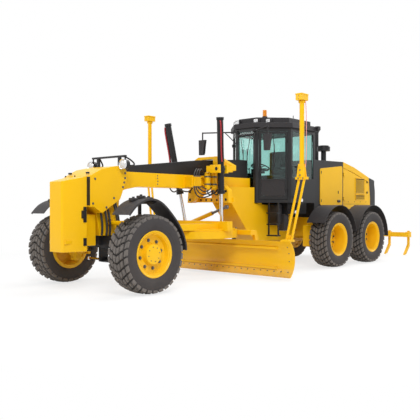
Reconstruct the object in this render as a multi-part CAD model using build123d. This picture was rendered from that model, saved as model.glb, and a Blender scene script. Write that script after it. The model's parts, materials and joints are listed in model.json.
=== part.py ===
from build123d import *
import math
import os

# Motor grader, in millimetres: +X forward, +Y left, +Z up.
# The origin is on the ground, midway between the nose and the tail.

# Wheels and axles
TYRE_R = 600
SIDEWALL_Y = 215
BEAD_R = 330
FLANGE_R = 356
RIM_HALF_W = 190
HALF_TRACK = 1070
RIM_SIDES = 24
LUG_COUNT = 20
LUG_DEPTH = 28
LUG_SWEEP_DEG = 13
TREAD_HALF_W = 180
SHOULDER_DROP = 12
WHEELBASE = 6123
TANDEM_PITCH = 1523
NOSE_REACH = 890
TAIL_REACH = 9320

# Front frame
BEAM_HALF_W = 140
BEAM_LOW_Z = 1645
BEAM_TOP_Z = 1890
GOOSENECK_HALF_W = 340
HITCH_BACK = 5200
HITCH_PLATE_HALF_W = 250
HITCH_LUGS = ((620, 680), (1100, 1160))
HITCH_LUG_R = 110
HITCH_PIN_R = 45
NOSE_HALF_W = 170
NOSE_REAR_HALF_W = 270

# Front end
LEAN_PIN_Y = 620
LEAN_PIN_Z = 620
LEAN_PIN_R = 28
LEAN_BAR_Z = 1050
LEAN_FORK_HALF_W = 30
KINGPIN_Y = 780
KINGPIN_R = 26
TIE_ROD_BACK = 250
TIE_ROD_Z = 418
TIE_ROD_R = 22
TIE_ROD_EYE_Y = 700
STEER_ARM_Y = 815
STEER_ARM_Z = 512

# Blade linkage
BALL_BACK = 300
BALL_Z = 860
BALL_R = 70
CIRCLE_BACK = 2250
CIRCLE_R = 765
CIRCLE_LOW_Z = 730
CIRCLE_TOP_Z = 865
BLADE_HALF_W = 1829
BLADE_LOW_Z = 50
BLADE_HIGH_Z = 690
BLADE_BACK = 2670
BLADE_ARC_R = 413
BLADE_T = 22
BLADE_SIDES = 44
RAIL_END_IN = 329
SLIDE_BLOCK_IN = 114
HEAD_BACK = 2170
PLATE_LOW_Z = 865.3
PLATE_HIGH_Z = 905
TIP_PIN_BACK = 3045
TIP_PIN_Z = 260
TIP_PIN_R = 30
ARM_IN_Y = 815
ARM_OUT_Y = 875
CARRIER_Y = 808
SLIDE_BACK = 2915
SLIDE_Z = 380
SLIDE_ROD_R = 25
RAIL_ROWS = (200, 560)
MAST_Y = 1975
MAST_FOOT_Y = 1755
MAST_BACK = 2830
MAST_TOP_Z = 3280

# Lift and side-shift cylinders
LIFT_TOP = (2130, 680, 2930)
LIFT_EYE = (2410, 475, 990)
LIFT_PIN_Z = 2000
LIFT_BARREL_R = 60
LIFT_ROD_R = 32
LIFT_KNOB_R = 58
SHIFT_EAR = (2815, -800, 951)
SHIFT_PIN = (2815, 250, 1300)
SHIFT_EAR_R = 20
SHIFT_EYE_R = 40
SHIFT_BARREL_R = 42
SHIFT_ROD_R = 25
SHIFT_STROKE = 330
SADDLE_BACK = 2600
LINK_HOLE_PITCH = 140
YOKE_REACH = 130
YOKE_PRONG = 45
TRUNNION_R = 34
LIFT_BARREL_LEN = 1400
LIFT_ROD_TOP = 560

# Cab
CAB_FRONT_BACK = 3720
CAB_FRONT_HALF_W = 260
CAB_POST_BACK = 4240
CAB_HALF_W = 780
CAB_REAR_BACK = 5180
CAB_REAR_HALF_W = 760
CAB_FLOOR_Z = 1385
CAB_TOP_Z = 2930
CAB_WALL = 50
ROOF_TOP_Z = 3150
GLASS_T = 8
POST_W = 62
WINDOW_SILLS = {"front": 1640, "side_left": 1900, "side_right": 1900, "rear": 1950}
WINDOW_TOP_Z = 2860
STEP_ROWS = (700, 930, 1160)
RAIL_STAND_OFF = 70
DOOR_GAP = 7
HINGE_OUT = 14
HINGE_PIN_R = 7
HINGE_EYE_R = 13
CAB_HINGE_ROWS = (1640, 2650)
ENGINE_HINGE_ROWS = (1500, 2080)

# Rear frame and hood
HOOD_FRONT_BACK = 5560
HOOD_REAR_BACK = 8220
HOOD_HALF_W = 500
HOOD_LOW_Z = 1060
HOOD_WALL = 40
ENGINE_DOOR_T = 28
ENGINE_DOOR_TOP_GAP = 14
LOUVRE_ROWS = ((1500, 4), (1640, 4), (1780, 4))
DOOR_LOW_Z = 1360
DOOR_FRONT_BACK = 6860
DOOR_REAR_BACK = 8140
RAIL_Y = 300
FRAME_TAIL_BACK = 8620
CASE_IN_Y = 600
CASE_OUT_Y = 840
CASE_LOW_Z = 440
CASE_HIGH_Z = 900
CASE_REACH = 430
FENDER_R = 740
FENDER_T = 12
FENDER_SIDES = 36
FENDER_IN_Y = 850
FRONT_FENDER_IN_Y = 895
FENDER_OUT_Y = 1290

# Distance back, y and radius of what stands on the hood
STACK = (6780, -200, 48)
CLEANER = (6450, 200, 62)

# Ripper
RIPPER_PIVOT_BACK = 8300
RIPPER_PIVOT_Z = 650
RIPPER_EYE_BACK = 9050
RIPPER_PIN_R = 30
RIPPER_BEAM_BACK = 9170
RIPPER_BEAM_Z = 560
RIPPER_HALF_W = 1150
SHANK_PITCH = 533
SHANK_TIP_Z = 35

# Clearances, and the flat sides of what needn't be round
PIN_GAP = 0.05
SEAT_GAP = 0.3
SMOOTH = 0
SMALL_SIDES = 8
ROUND_SIDES = 12
DRUM_SIDES = 20
CIRCLE_SIDES = 48

# Places that follow from the sizes above
FRONT_X = (TAIL_REACH - NOSE_REACH) / 2
REAR1_BACK = WHEELBASE - TANDEM_PITCH / 2
REAR2_BACK = WHEELBASE + TANDEM_PITCH / 2
SIDES = (("left", 1), ("right", -1))


def back(distance):
    """X of a point that lies this far behind the front axle."""
    return FRONT_X - distance


def point(triple, side=1):
    """A point from (distance behind the front axle, y, z), mirrored for the right side."""
    return Vector(back(triple[0]), side * triple[1], triple[2])


def box(x0, x1, y0, y1, z0, z1):
    size = (abs(x1 - x0), abs(y1 - y0), abs(z1 - z0))
    return Pos((x0 + x1) / 2, (y0 + y1) / 2, (z0 + z1) / 2) * Box(*size)


def prism(corners, direction):
    """A flat outline pushed along a direction, wound so that the solid is not inside out."""
    direction = Vector(direction)
    face = Face(Wire.make_polygon(corners))
    if face.normal_at().dot(direction) < 0:
        face = Face(Wire.make_polygon(list(reversed(corners))))
    return extrude(face, amount=direction.length, dir=direction.normalized())


def side_prism(outline, y0, y1):
    """Outline of (distance behind the axle, z), pushed across from y0 to y1."""
    return prism([(back(b), y0, z) for b, z in outline], (0, y1 - y0, 0))


def plan_prism(outline, z0, z1):
    """Outline of (x, y), pushed up from z0 to z1."""
    return prism([(x, y, z0) for x, y in outline], (0, 0, z1 - z0))


def front_prism(outline, x0, x1):
    """Outline of (y, z), pushed along the machine from x0 to x1."""
    return prism([(x0, y, z) for y, z in outline], (x1 - x0, 0, 0))


def bar(start, end, radius, sides=ROUND_SIDES):
    """A bar with flat sides, or a true round where sides is SMOOTH, as at pins and bores."""
    start, end = Vector(start), Vector(end)
    plane = Plane(origin=start, z_dir=end - start)
    length = (end - start).length
    if sides == SMOOTH:
        return Solid.make_cylinder(radius, length, plane)
    return extrude(plane * RegularPolygon(radius, sides), amount=length)


def cross_bar(x, z, y0, y1, radius, sides=ROUND_SIDES):
    return bar((x, y0, z), (x, y1, z), radius, sides)


def upright(x, y, z0, z1, radius, sides=ROUND_SIDES):
    return bar((x, y, z0), (x, y, z1), radius, sides)


def join(first, *others):
    shape = first
    for other in others:
        shape = shape + other
    return shape


def save(name, shape):
    os.makedirs("parts", exist_ok=True)
    shape.label = name
    export_step(shape, f"parts/{name}.step")


def faceted_turn(profile, sides):
    """A closed (y, r) profile turned about Y, with flat facets that keep a wheel light."""
    def ring_point(step, y, r):
        angle = 2 * math.pi * step / sides
        return (r * math.sin(angle), y, r * math.cos(angle))

    faces = []
    for (y0, r0), (y1, r1) in zip(profile, profile[1:] + profile[:1]):
        if r0 == 0 and r1 == 0:
            continue
        for step in range(sides):
            corners = [ring_point(step, y0, r0), ring_point(step, y1, r1)]
            if r1 > 0:
                corners.append(ring_point(step + 1, y1, r1))
            if r0 > 0:
                corners.append(ring_point(step + 1, y0, r0))
            if r0 == 0:
                corners = corners[:3]
            faces.append(Face(Wire.make_polygon(corners)))
    return Solid(Shell(faces))


def faceted_ball(place, radius):
    """A ball whose corners lie on the sphere, so that it fits a round seat."""
    rows = DRUM_SIDES // 2
    angles = [math.pi * row / rows for row in range(1, rows)]
    arc = [(radius * math.cos(angle), radius * math.sin(angle)) for angle in angles]
    return Pos(place) * faceted_turn([(radius, 0)] + arc + [(-radius, 0)], DRUM_SIDES)


# Wheels
def tyre():
    """Side walls in flat facets, and chevron lugs that stand LUG_DEPTH above the grooves."""
    pitch = 2 * math.pi / LUG_COUNT
    bead = BEAD_R / math.cos(pitch / 4)
    groove_r = TYRE_R - SHOULDER_DROP - LUG_DEPTH
    wall = [(150, bead), (186, 376), (SIDEWALL_Y, 465), (TREAD_HALF_W, groove_r)]
    # Tread rows: y, radius in the groove, radius on the lug, and how far the row lags, in radians
    lag = math.radians(LUG_SWEEP_DEG)
    tread = [(TREAD_HALF_W, groove_r, groove_r + LUG_DEPTH, lag), (0, TYRE_R - LUG_DEPTH, TYRE_R, 0),
             (-TREAD_HALF_W, groove_r, groove_r + LUG_DEPTH, lag)]

    def spot(y, r, angle):
        return (r * math.sin(angle), y, r * math.cos(angle))

    def patch(corners):
        return Face(Wire.make_polygon(corners))

    faces = []
    for step in range(LUG_COUNT):
        start, middle, end = step * pitch, (step + 0.5) * pitch, (step + 1) * pitch
        for a0, a1 in ((start - lag, middle - lag), (middle - lag, end - lag)):
            for sign in (1, -1):
                for (y0, r0), (y1, r1) in zip(wall, wall[1:]):
                    faces.append(patch([spot(sign * y0, r0, a0), spot(sign * y1, r1, a0),
                                        spot(sign * y1, r1, a1), spot(sign * y0, r0, a1)]))
            faces.append(patch([spot(150, bead, a0), spot(150, bead, a1), spot(-150, bead, a1),
                                spot(-150, bead, a0)]))
        for sign in (1, -1):
            y, low, high, row_lag = tread[0]
            near, far = start - row_lag, middle - row_lag
            faces.append(patch([spot(sign * y, low, near), spot(sign * y, high, near),
                                spot(sign * y, high, far), spot(sign * y, low, far)]))
        for (y0, low0, high0, lag0), (y1, low1, high1, lag1) in zip(tread, tread[1:]):
            stations = [(start, low0, low1), (start, high0, high1), (middle, high0, high1),
                        (middle, low0, low1), (end, low0, low1)]
            for (a0, p0, q0), (a1, p1, q1) in zip(stations, stations[1:]):
                near0, far0 = spot(y0, p0, a0 - lag0), spot(y1, q0, a0 - lag1)
                near1, far1 = spot(y0, p1, a1 - lag0), spot(y1, q1, a1 - lag1)
                faces.append(patch([near0, far0, near1]))
                faces.append(patch([near1, far0, far1]))
    return Solid(Shell(faces))


def rim(dish):
    """dish rows are (y, r) from the outer lip inward to the axis and back out."""
    seat_r = BEAD_R - SEAT_GAP
    barrel = [(-RIM_HALF_W, 300), (-RIM_HALF_W, FLANGE_R), (-178, FLANGE_R), (-160, seat_r),
              (160, seat_r), (178, FLANGE_R), (RIM_HALF_W, FLANGE_R)]
    return faceted_turn(barrel + dish, RIM_SIDES)


FRONT_DISC_Y = 60
REAR_DISC_Y = -160
FRONT_DISH = [(RIM_HALF_W, 318), (118, 292), (118, 118), (182, 100), (182, 0), (FRONT_DISC_Y, 0),
              (FRONT_DISC_Y, 286)]
REAR_DISH = [(RIM_HALF_W, 318), (-96, 296), (-96, 150), (-40, 128), (-40, 0), (REAR_DISC_Y, 0),
             (REAR_DISC_Y, 286)]


def wheel_places():
    for axle, distance in (("front", 0), ("middle", REAR1_BACK), ("rear", REAR2_BACK)):
        for side, sign in SIDES:
            yield axle, side, sign, Pos(back(distance), sign * HALF_TRACK, TYRE_R)


def make_wheels():
    tyre_shape = tyre()
    rims = {"front": rim(FRONT_DISH), "middle": rim(REAR_DISH), "rear": rim(REAR_DISH)}
    for axle, side, sign, place in wheel_places():
        turn = Rot(0, 0, 0 if sign > 0 else 180)
        save(f"tyre_{axle}_{side}", place * turn * tyre_shape)
        save(f"rim_{axle}_{side}", place * turn * rims[axle])


def ball_seat(mouth, end):
    """Round pocket from its mouth inwards, whose rim clears the ball by SEAT_GAP."""
    rim_r = math.sqrt(BALL_R ** 2 - (mouth - BALL_BACK) ** 2) + SEAT_GAP
    return bar((back(mouth), 0, BALL_Z), (back(end), 0, BALL_Z), rim_r, SMOOTH)


# Front frame
def keel():
    """Deep rear part of the frame under the cab, with the upper and lower hitch lugs."""
    shape = side_prism([(2900, 1700), (2950, 1400), (3420, 850), (3720, 610), (4950, 560),
                        (5090, 600), (5090, 1280), (3950, 1350), (3700, 1370), (3700, 1700)],
                       -HITCH_PLATE_HALF_W, HITCH_PLATE_HALF_W)
    for z0, z1 in HITCH_LUGS:
        lug = box(back(5060), back(HITCH_BACK), -HITCH_LUG_R, HITCH_LUG_R, z0, z1)
        shape += lug + upright(back(HITCH_BACK), 0, z0, z1, HITCH_LUG_R)
    shape += upright(back(HITCH_BACK), 0, HITCH_LUGS[0][1] - 10, HITCH_LUGS[1][0] + 10, HITCH_PIN_R,
                     SMOOTH)
    for distance in (3900, 4950):
        shape += box(back(distance - 60), back(distance + 60), -240, 240, 1270, CAB_FLOOR_Z - SEAT_GAP)
    return shape


def front_frame():
    beam = side_prism([(60, 1480), (60, BEAM_TOP_Z), (3690, BEAM_TOP_Z), (3690, BEAM_LOW_Z),
                       (640, BEAM_LOW_Z), (360, 1595)], -BEAM_HALF_W, BEAM_HALF_W)
    cheeks = side_prism([(-500, 1310), (-500, 1780), (-270, 1900), (0, 1955), (155, 1970),
                         (225, 1890), (230, 1750), (95, 1430), (-260, 1210), (-430, 1310)],
                        -GOOSENECK_HALF_W, GOOSENECK_HALF_W)
    bolster = side_prism([(-300, 1320), (-200, 850), (130, 850), (190, 1430)], -200, 200)
    bolster -= cross_bar(FRONT_X, LEAN_BAR_Z, -210, 210, 60)
    socket = box(back(110 + SEAT_GAP), back(285), -115, 115, 750, 1000) - ball_seat(285, 226)
    return join(beam, cheeks, bolster, socket, keel(), valve_bank())


def nose_housing():
    front, rear = back(-NOSE_REACH), back(-500 - SEAT_GAP)
    outline = [(front, -NOSE_HALF_W), (front, NOSE_HALF_W), (rear, NOSE_REAR_HALF_W),
               (rear, -NOSE_REAR_HALF_W)]
    block = plan_prism(outline, 620, 1790)
    top_cut = side_prism([(-NOSE_REACH - 10, 1690), (-490, 1780), (-490, 1800),
                          (-NOSE_REACH - 10, 1800)], -400, 400)
    back_bracket = box(rear, back(-275), -190, 190, 700, 1190)
    return block - top_cut + back_bracket


def beam_cover():
    rise = [(200, 1890 + SEAT_GAP), (240, 1940), (610, 2010), (2170, 2180), (3400, 2260), (3660, 2260),
            (3660, 1890 + SEAT_GAP)]
    return side_prism(rise, -95, 95) - box(back(100), back(232), -120, 120, 1880, 1960)


def front_axle():
    """Axle beam, pivot block and the lean cylinder that lies in front of it."""
    beam = box(back(110), back(-110), -530, 530, 655, 845)
    pivot = box(back(99), back(-195), -150, 150, 700, 850)
    axle = beam + pivot
    for side, sign in SIDES:
        for x0, x1 in ((-165, -130), (130, 165)):
            ear = box(FRONT_X + x0, FRONT_X + x1, sign * 440, sign * 680, 576, 720)
            axle += ear
        axle += box(back(165), back(-165), sign * 440, sign * 530, 655, 845)
        axle += bar((back(165), sign * LEAN_PIN_Y, LEAN_PIN_Z),
                    (back(-165), sign * LEAN_PIN_Y, LEAN_PIN_Z), LEAN_PIN_R, SMOOTH)
        axle += box(back(TIE_ROD_BACK + 20), back(100), sign * 190, sign * 230, TIE_ROD_Z - 20, 700)
    axle += cross_bar(back(TIE_ROD_BACK), TIE_ROD_Z, -360, 360, 46)
    return axle - cross_bar(back(TIE_ROD_BACK), TIE_ROD_Z, -370, 370, TIE_ROD_R + PIN_GAP, SMOOTH)


def lift_saddle():
    """Plates round the beam, two arms out to the lift cylinders, and the link bar below."""
    x0, x1 = back(SADDLE_BACK + 60), back(SADDLE_BACK - 60)
    gap = BEAM_HALF_W + SEAT_GAP
    saddle = box(x0, x1, -250, 250, BEAM_TOP_Z + 330, BEAM_TOP_Z + 380)
    plate = [(gap, 1560), (420, 1380), (540, 1380), (520, 1620), (300, 1800), (330, 1960), (620, 1985),
             (620, 2080), (250, 2270), (gap, 2270)]
    for side, sign in SIDES:
        saddle += front_prism([(sign * y, z) for y, z in plate], x0, x1)
    link_bar = box(back(SADDLE_BACK + 55), back(SADDLE_BACK + 110), -560, 560, 1390, 1480)
    for step in range(-3, 4):
        y = step * LINK_HOLE_PITCH
        link_bar -= bar((back(SADDLE_BACK + 65), y, 1435), (back(SADDLE_BACK + 120), y, 1435), 20,
                        SMALL_SIDES)
    return Compound(children=[saddle + link_bar] + [lift_yoke(sign) for side, sign in SIDES])


def lift_yoke(sign):
    """Two prongs and a web ahead of the saddle's arm, that carry a lift cylinder's trunnion."""
    pin_x, pin_y = back(trunnion()[0]), sign * trunnion()[1]
    saddle_face = back(SADDLE_BACK - 60) + SEAT_GAP
    yoke = box(saddle_face, pin_x + YOKE_REACH, sign * 340, sign * 440, 1950, 2060)
    yoke += box(saddle_face, pin_x - YOKE_REACH + YOKE_PRONG, sign * 340, pin_y + sign * 60, 1950, 2060)
    for near, far in ((YOKE_REACH - YOKE_PRONG, YOKE_REACH), (-YOKE_REACH, YOKE_PRONG - YOKE_REACH)):
        yoke += box(pin_x - far, pin_x - near, sign * 430, pin_y + sign * 75, 1925, 2075)
    reach = YOKE_REACH + 10
    return yoke - bar((pin_x - reach, pin_y, LIFT_PIN_Z), (pin_x + reach, pin_y, LIFT_PIN_Z),
                      TRUNNION_R + PIN_GAP, SMOOTH)


def trunnion():
    """(back, y, z) of the lift cylinder's trunnion, on the line from its top to its eye."""
    share = (LIFT_TOP[2] - LIFT_PIN_Z) / (LIFT_TOP[2] - LIFT_EYE[2])
    return tuple(top + share * (eye - top) for top, eye in zip(LIFT_TOP, LIFT_EYE))


def valve_bank():
    bank = box(back(1760), back(1980), BEAM_HALF_W - 5, 330, 1660, 1860)
    for step in range(6):
        x = back(1790 + 32 * step)
        bank += box(x - 11, x + 11, 330, 372, 1680, 1850)
    return bank


# Cab
def cab_plan(grow=0.0):
    """Corners of the cab seen from above, front left first, going round to the right."""
    outline = [(back(CAB_FRONT_BACK), CAB_FRONT_HALF_W), (back(CAB_POST_BACK), CAB_HALF_W),
               (back(CAB_REAR_BACK), CAB_REAR_HALF_W)]
    corners = outline + [(x, -y) for x, y in reversed(outline)]
    if grow == 0:
        return corners
    face = Face(Wire.make_polygon([(x, y, 0) for x, y in corners]))
    grown = offset(face, amount=grow, kind=Kind.INTERSECTION)
    ring = [(v.X, v.Y) for v in grown.faces()[0].outer_wire().order_edges().vertices()]
    return ring


def wall_slab(start, end, u0, u1, z0, z1, out0, out1):
    """A slab in the wall from start to end: u along the wall, out0 to out1 across it."""
    along = Vector(end[0] - start[0], end[1] - start[1], 0).normalized()
    outward = Vector(along.Y, -along.X, 0)
    corners = []
    for u, out in ((u0, out0), (u1, out0), (u1, out1), (u0, out1)):
        spot = Vector(start[0], start[1], 0) + along * u + outward * out
        corners.append((spot.X, spot.Y))
    return plan_prism(corners, z0, z1)


def wall_length(start, end):
    return math.hypot(end[0] - start[0], end[1] - start[1])


def cab_walls():
    """Rows of (name, start corner, end corner), with the outside to the right of each."""
    c = cab_plan()
    return {"front": (c[5], c[0]), "door_left": (c[0], c[1]), "side_left": (c[1], c[2]),
            "rear": (c[2], c[3]), "side_right": (c[3], c[4]), "door_right": (c[4], c[5])}


def cab_windows_rows():
    walls = cab_walls()
    for name, sill in WINDOW_SILLS.items():
        start, end = walls[name]
        yield name, start, end, sill


def cab_hinge(side, sign):
    """A cab door's hinge line just outside its post, with the ways along and out of the wall."""
    start, end = cab_walls()[f"door_{side}"]
    post, other = (end, start) if sign > 0 else (start, end)
    along = Vector(other[0] - post[0], other[1] - post[1], 0).normalized()
    outward = Vector(0, sign, 0)
    outward = (outward - along * outward.dot(along)).normalized()
    spot = Vector(post[0], post[1], 0) + along * (POST_W + DOOR_GAP / 2) + outward * HINGE_OUT
    return spot, along, outward


def engine_hinge(sign):
    spot = Vector(back(DOOR_FRONT_BACK + DOOR_GAP / 2), sign * (HOOD_HALF_W + HINGE_OUT), 0)
    return spot, Vector(-1, 0, 0), Vector(0, sign, 0)


def hinge_lug(line, u0, u1, z0, z1):
    """Round eye on the hinge line with a foot from u0 to u1 down into the panel."""
    spot, along, outward = line
    foot_ring = ((u0, 0), (u1, 0), (u1, -HINGE_OUT - 8), (u0, -HINGE_OUT - 8))
    corners = [spot + along * u + outward * out for u, out in foot_ring]
    foot = plan_prism([(p.X, p.Y) for p in corners], z0, z1)
    return upright(spot.X, spot.Y, z0, z1, HINGE_EYE_R, SMALL_SIDES) + foot


def fixed_hinge(panel, line, heights):
    """Two lugs and a pin at each height, on the panel that stays."""
    spot = line[0]
    for z in heights:
        for z0, z1 in ((z - 32, z - 15 - SEAT_GAP), (z + 15 + SEAT_GAP, z + 32)):
            panel += hinge_lug(line, -14, -5, z0, z1)
        panel += upright(spot.X, spot.Y, z - 32, z + 32, HINGE_PIN_R, SMALL_SIDES)
    return panel


def door_half_hinge(panel, line, heights):
    spot = line[0]
    for z in heights:
        panel += hinge_lug(line, 5, 14, z - 15, z + 15)
        panel -= upright(spot.X, spot.Y, z - 16, z + 16, HINGE_PIN_R + PIN_GAP, SMOOTH)
    return panel


def cab_shell():
    outer = plan_prism(cab_plan(), CAB_FLOOR_Z, CAB_TOP_Z)
    inner = plan_prism(cab_plan(-CAB_WALL), CAB_FLOOR_Z + 60, CAB_TOP_Z + 10)
    shell = outer - inner
    for name, start, end, sill in cab_windows_rows():
        length = wall_length(start, end)
        shell -= wall_slab(start, end, POST_W, length - POST_W, sill, WINDOW_TOP_Z, -80, 40)
    for name in ("door_left", "door_right"):
        start, end = cab_walls()[name]
        length = wall_length(start, end)
        shell -= wall_slab(start, end, POST_W, length - POST_W, CAB_FLOOR_Z + 60, WINDOW_TOP_Z, -80, 40)
    for side, sign in SIDES:
        shell = fixed_hinge(shell, cab_hinge(side, sign), CAB_HINGE_ROWS)
    outside = []
    for side, sign in SIDES:
        outside.append(cab_steps(sign))
        outside.append(box(back(4340), back(5060), sign * 300, sign * 620, 1150, CAB_FLOOR_Z - SEAT_GAP))
        outside.append(hand_rail(sign))
    return Compound(children=[shell] + outside)


def cab_steps(sign):
    """Ladder below a cab door: two stiles and three treads."""
    steps = None
    for y in (420, 660):
        stile = box(back(3960), back(3930), sign * y, sign * (y + 25), STEP_ROWS[0],
                    CAB_FLOOR_Z - SEAT_GAP)
        steps = stile if steps is None else steps + stile
    for z in STEP_ROWS:
        steps += box(back(4010), back(3880), sign * 420, sign * 685, z, z + 25)
    return steps


def hand_rail(sign):
    """Grab rail on the side of the cab, behind the door, on two feet."""
    x, out = back(CAB_POST_BACK + 120), cab_side_y(CAB_POST_BACK + 120)
    near, far = sign * (out + SEAT_GAP), sign * (out + RAIL_STAND_OFF)
    rail = upright(x, far, 1480, 2150, 15, SMALL_SIDES)
    for z in (1500, 2130):
        rail += bar((x, near, z), (x, far, z), 13, SMALL_SIDES)
    return rail


def cab_side_y(distance):
    """Half width of the cab's side wall at a distance behind the front axle."""
    share = (distance - CAB_POST_BACK) / (CAB_REAR_BACK - CAB_POST_BACK)
    return CAB_HALF_W + share * (CAB_REAR_HALF_W - CAB_HALF_W)


def cab_windows():
    panes = []
    for name, start, end, sill in cab_windows_rows():
        length = wall_length(start, end)
        edge = POST_W + SEAT_GAP
        panes.append(wall_slab(start, end, edge, length - edge, sill + SEAT_GAP,
                               WINDOW_TOP_Z - SEAT_GAP, -30, -30 + GLASS_T))
    return Compound(children=panes)


def cab_door(side, sign):
    name = f"door_{side}"
    start, end = cab_walls()[name]
    u0, u1 = POST_W + DOOR_GAP, wall_length(start, end) - POST_W - DOOR_GAP
    z0, z1 = CAB_FLOOR_Z + 60 + DOOR_GAP, WINDOW_TOP_Z - DOOR_GAP
    leaf = wall_slab(start, end, u0, u1, z0, z1, -45, -5)
    frame_w = 48
    hole = (u0 + frame_w, u1 - frame_w, z0 + 70, z1 - frame_w)
    leaf -= wall_slab(start, end, *hole, -80, 40)
    pane = wall_slab(start, end, hole[0] + SEAT_GAP, hole[1] - SEAT_GAP, hole[2] + SEAT_GAP,
                     hole[3] - SEAT_GAP, -29, -29 + GLASS_T)
    handle_u = u0 + 20 if name == "door_left" else u1 - 44
    leaf += wall_slab(start, end, handle_u, handle_u + 24, 1900, 2060, -6, 22)
    leaf = door_half_hinge(leaf, cab_hinge(side, sign), CAB_HINGE_ROWS)
    return Compound(children=[leaf, pane])


def cab_roof():
    base = plan_prism(cab_plan(45), CAB_TOP_Z + SEAT_GAP, CAB_TOP_Z + 105)
    cap = plan_prism(cab_plan(-70), CAB_TOP_Z + 100, ROOF_TOP_Z)
    beacon = upright(back(4380), 0, ROOF_TOP_Z - 5, 3250, 60) + upright(back(4380), 0, 3250, 3390, 45)
    lamps = []
    for y in (-430, -250, 250, 430):
        x = back(CAB_FRONT_BACK + 60) if abs(y) < 300 else back(CAB_FRONT_BACK + 230)
        lamps.append(box(x - 60, x + 40, y - 62, y + 62, CAB_TOP_Z + 100, CAB_TOP_Z + 190))
    return join(base, cap, beacon, *lamps)


def operator_seat():
    x = back(4640)
    cushion = box(x - 240, x + 240, -235, 235, 1880, 1990)
    rest = box(x - 300, x - 190, -230, 230, 2000, 2520)
    base = box(x - 180, x + 180, -180, 180, CAB_FLOOR_Z + 60 + SEAT_GAP, 1880)
    return cushion + rest + base + box(x - 300, x - 190, -230, 230, 1900, 2010)


def steering_console():
    foot = back(4010)
    post = bar((foot, 0, CAB_FLOOR_Z + 100), (foot - 130, 0, 2080), 45)
    post += box(foot - 90, foot + 60, -110, 110, CAB_FLOOR_Z + 60 + SEAT_GAP, 1520)
    panel = box(foot - 175, foot - 85, -150, 150, 2010, 2110)
    return post + panel


def head_lamps():
    arch = join(box(back(115), back(155), -430, 430, 2105, 2135),
                box(back(115), back(155), 250, 300, 1970 + SEAT_GAP, 2110),
                box(back(115), back(155), -300, -250, 1970 + SEAT_GAP, 2110))
    for sign in (1, -1):
        arch += upright(back(135), sign * 415, 2040, 2110, 12, SMALL_SIDES)
        arch += bar((back(175), sign * 415, 1985), (back(75), sign * 415, 1985), 78)
        arch += box(back(150), back(120), sign * 400, sign * 430, 1985, 2060)
    return arch


def mirrors():
    shape = None
    for side, sign in SIDES:
        foot = box(back(CAB_FRONT_BACK - SEAT_GAP), back(CAB_FRONT_BACK - 30), sign * 205, sign * 245,
                   CAB_TOP_Z - 90, CAB_TOP_Z - 30)
        start = (back(CAB_FRONT_BACK - 20), sign * 225, CAB_TOP_Z - 60)
        elbow = (back(3330), sign * 860, CAB_TOP_Z - 60)
        arm = foot + bar(start, elbow, 14, SMALL_SIDES)
        arm += bar((elbow[0], elbow[1], elbow[2] + 14), (elbow[0], elbow[1], 2420), 14, SMALL_SIDES)
        head = box(back(3300), back(3360), sign * 770, sign * 950, 2400, 2720)
        shape = arm + head if shape is None else shape + arm + head
    return shape


# Front end
def lean_bracket(sign):
    """Carries the kingpin, and tips sideways on the axle's end pin."""
    def across(x0, x1, y0, y1, z0, z1):
        return box(FRONT_X + x0, FRONT_X + x1, sign * y0, sign * y1, z0, z1)

    tongue_half_t = LEAN_FORK_HALF_W - SEAT_GAP
    body = across(-60, 60, 640, 725, 400, 1115)
    barrel = bar((back(125), sign * LEAN_PIN_Y, LEAN_PIN_Z), (back(-125), sign * LEAN_PIN_Y, LEAN_PIN_Z), 75)
    body += barrel
    for z0, z1 in ((400, 445), (765, 830)):
        body += across(-55, 55, 700, KINGPIN_Y, z0, z1)
        body += upright(FRONT_X, sign * KINGPIN_Y, z0, z1, 55)
    body += upright(FRONT_X, sign * KINGPIN_Y, 400, 830, KINGPIN_R, SMOOTH)
    pin_hole = bar((back(200), sign * LEAN_PIN_Y, LEAN_PIN_Z), (back(-200), sign * LEAN_PIN_Y, LEAN_PIN_Z),
                   LEAN_PIN_R + PIN_GAP, SMOOTH)
    body += across(-tongue_half_t, tongue_half_t, 580, 650, LEAN_BAR_Z - 45, LEAN_BAR_Z + 45)
    return body - pin_hole


def lean_bar():
    tube = cross_bar(FRONT_X, LEAN_BAR_Z, -500, 500, 38)
    for sign in (1, -1):
        tube += box(FRONT_X - 65, FRONT_X + 65, sign * 490, sign * 530, LEAN_BAR_Z - 40, LEAN_BAR_Z + 40)
        for x0, x1 in ((-65, -LEAN_FORK_HALF_W), (LEAN_FORK_HALF_W, 65)):
            tube += box(FRONT_X + x0, FRONT_X + x1, sign * 520, sign * 612, LEAN_BAR_Z - 40, LEAN_BAR_Z + 40)
    return tube


def knuckle(sign):
    """Steering knuckle with its spindle and, behind, its steering arm."""
    block = upright(FRONT_X, sign * KINGPIN_Y, 452, 758, 52)
    block += box(FRONT_X - 60, FRONT_X + 60, sign * 790, sign * 850, 480, 730)
    block += cross_bar(FRONT_X, TYRE_R, sign * 840, sign * (HALF_TRACK + FRONT_DISC_Y - SEAT_GAP), 75)
    block -= upright(FRONT_X, sign * KINGPIN_Y, 440, 770, KINGPIN_R + PIN_GAP, SMOOTH)
    low, high, far = STEER_ARM_Z - 20, STEER_ARM_Z + 20, back(TIE_ROD_BACK + 25)
    arm = box(far, back(40), sign * (STEER_ARM_Y - 20), sign * (STEER_ARM_Y + 20), low, high)
    arm += box(far, back(TIE_ROD_BACK - 20), sign * (TIE_ROD_EYE_Y - 15), sign * (STEER_ARM_Y + 20),
               low, high)
    return block + arm


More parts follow.
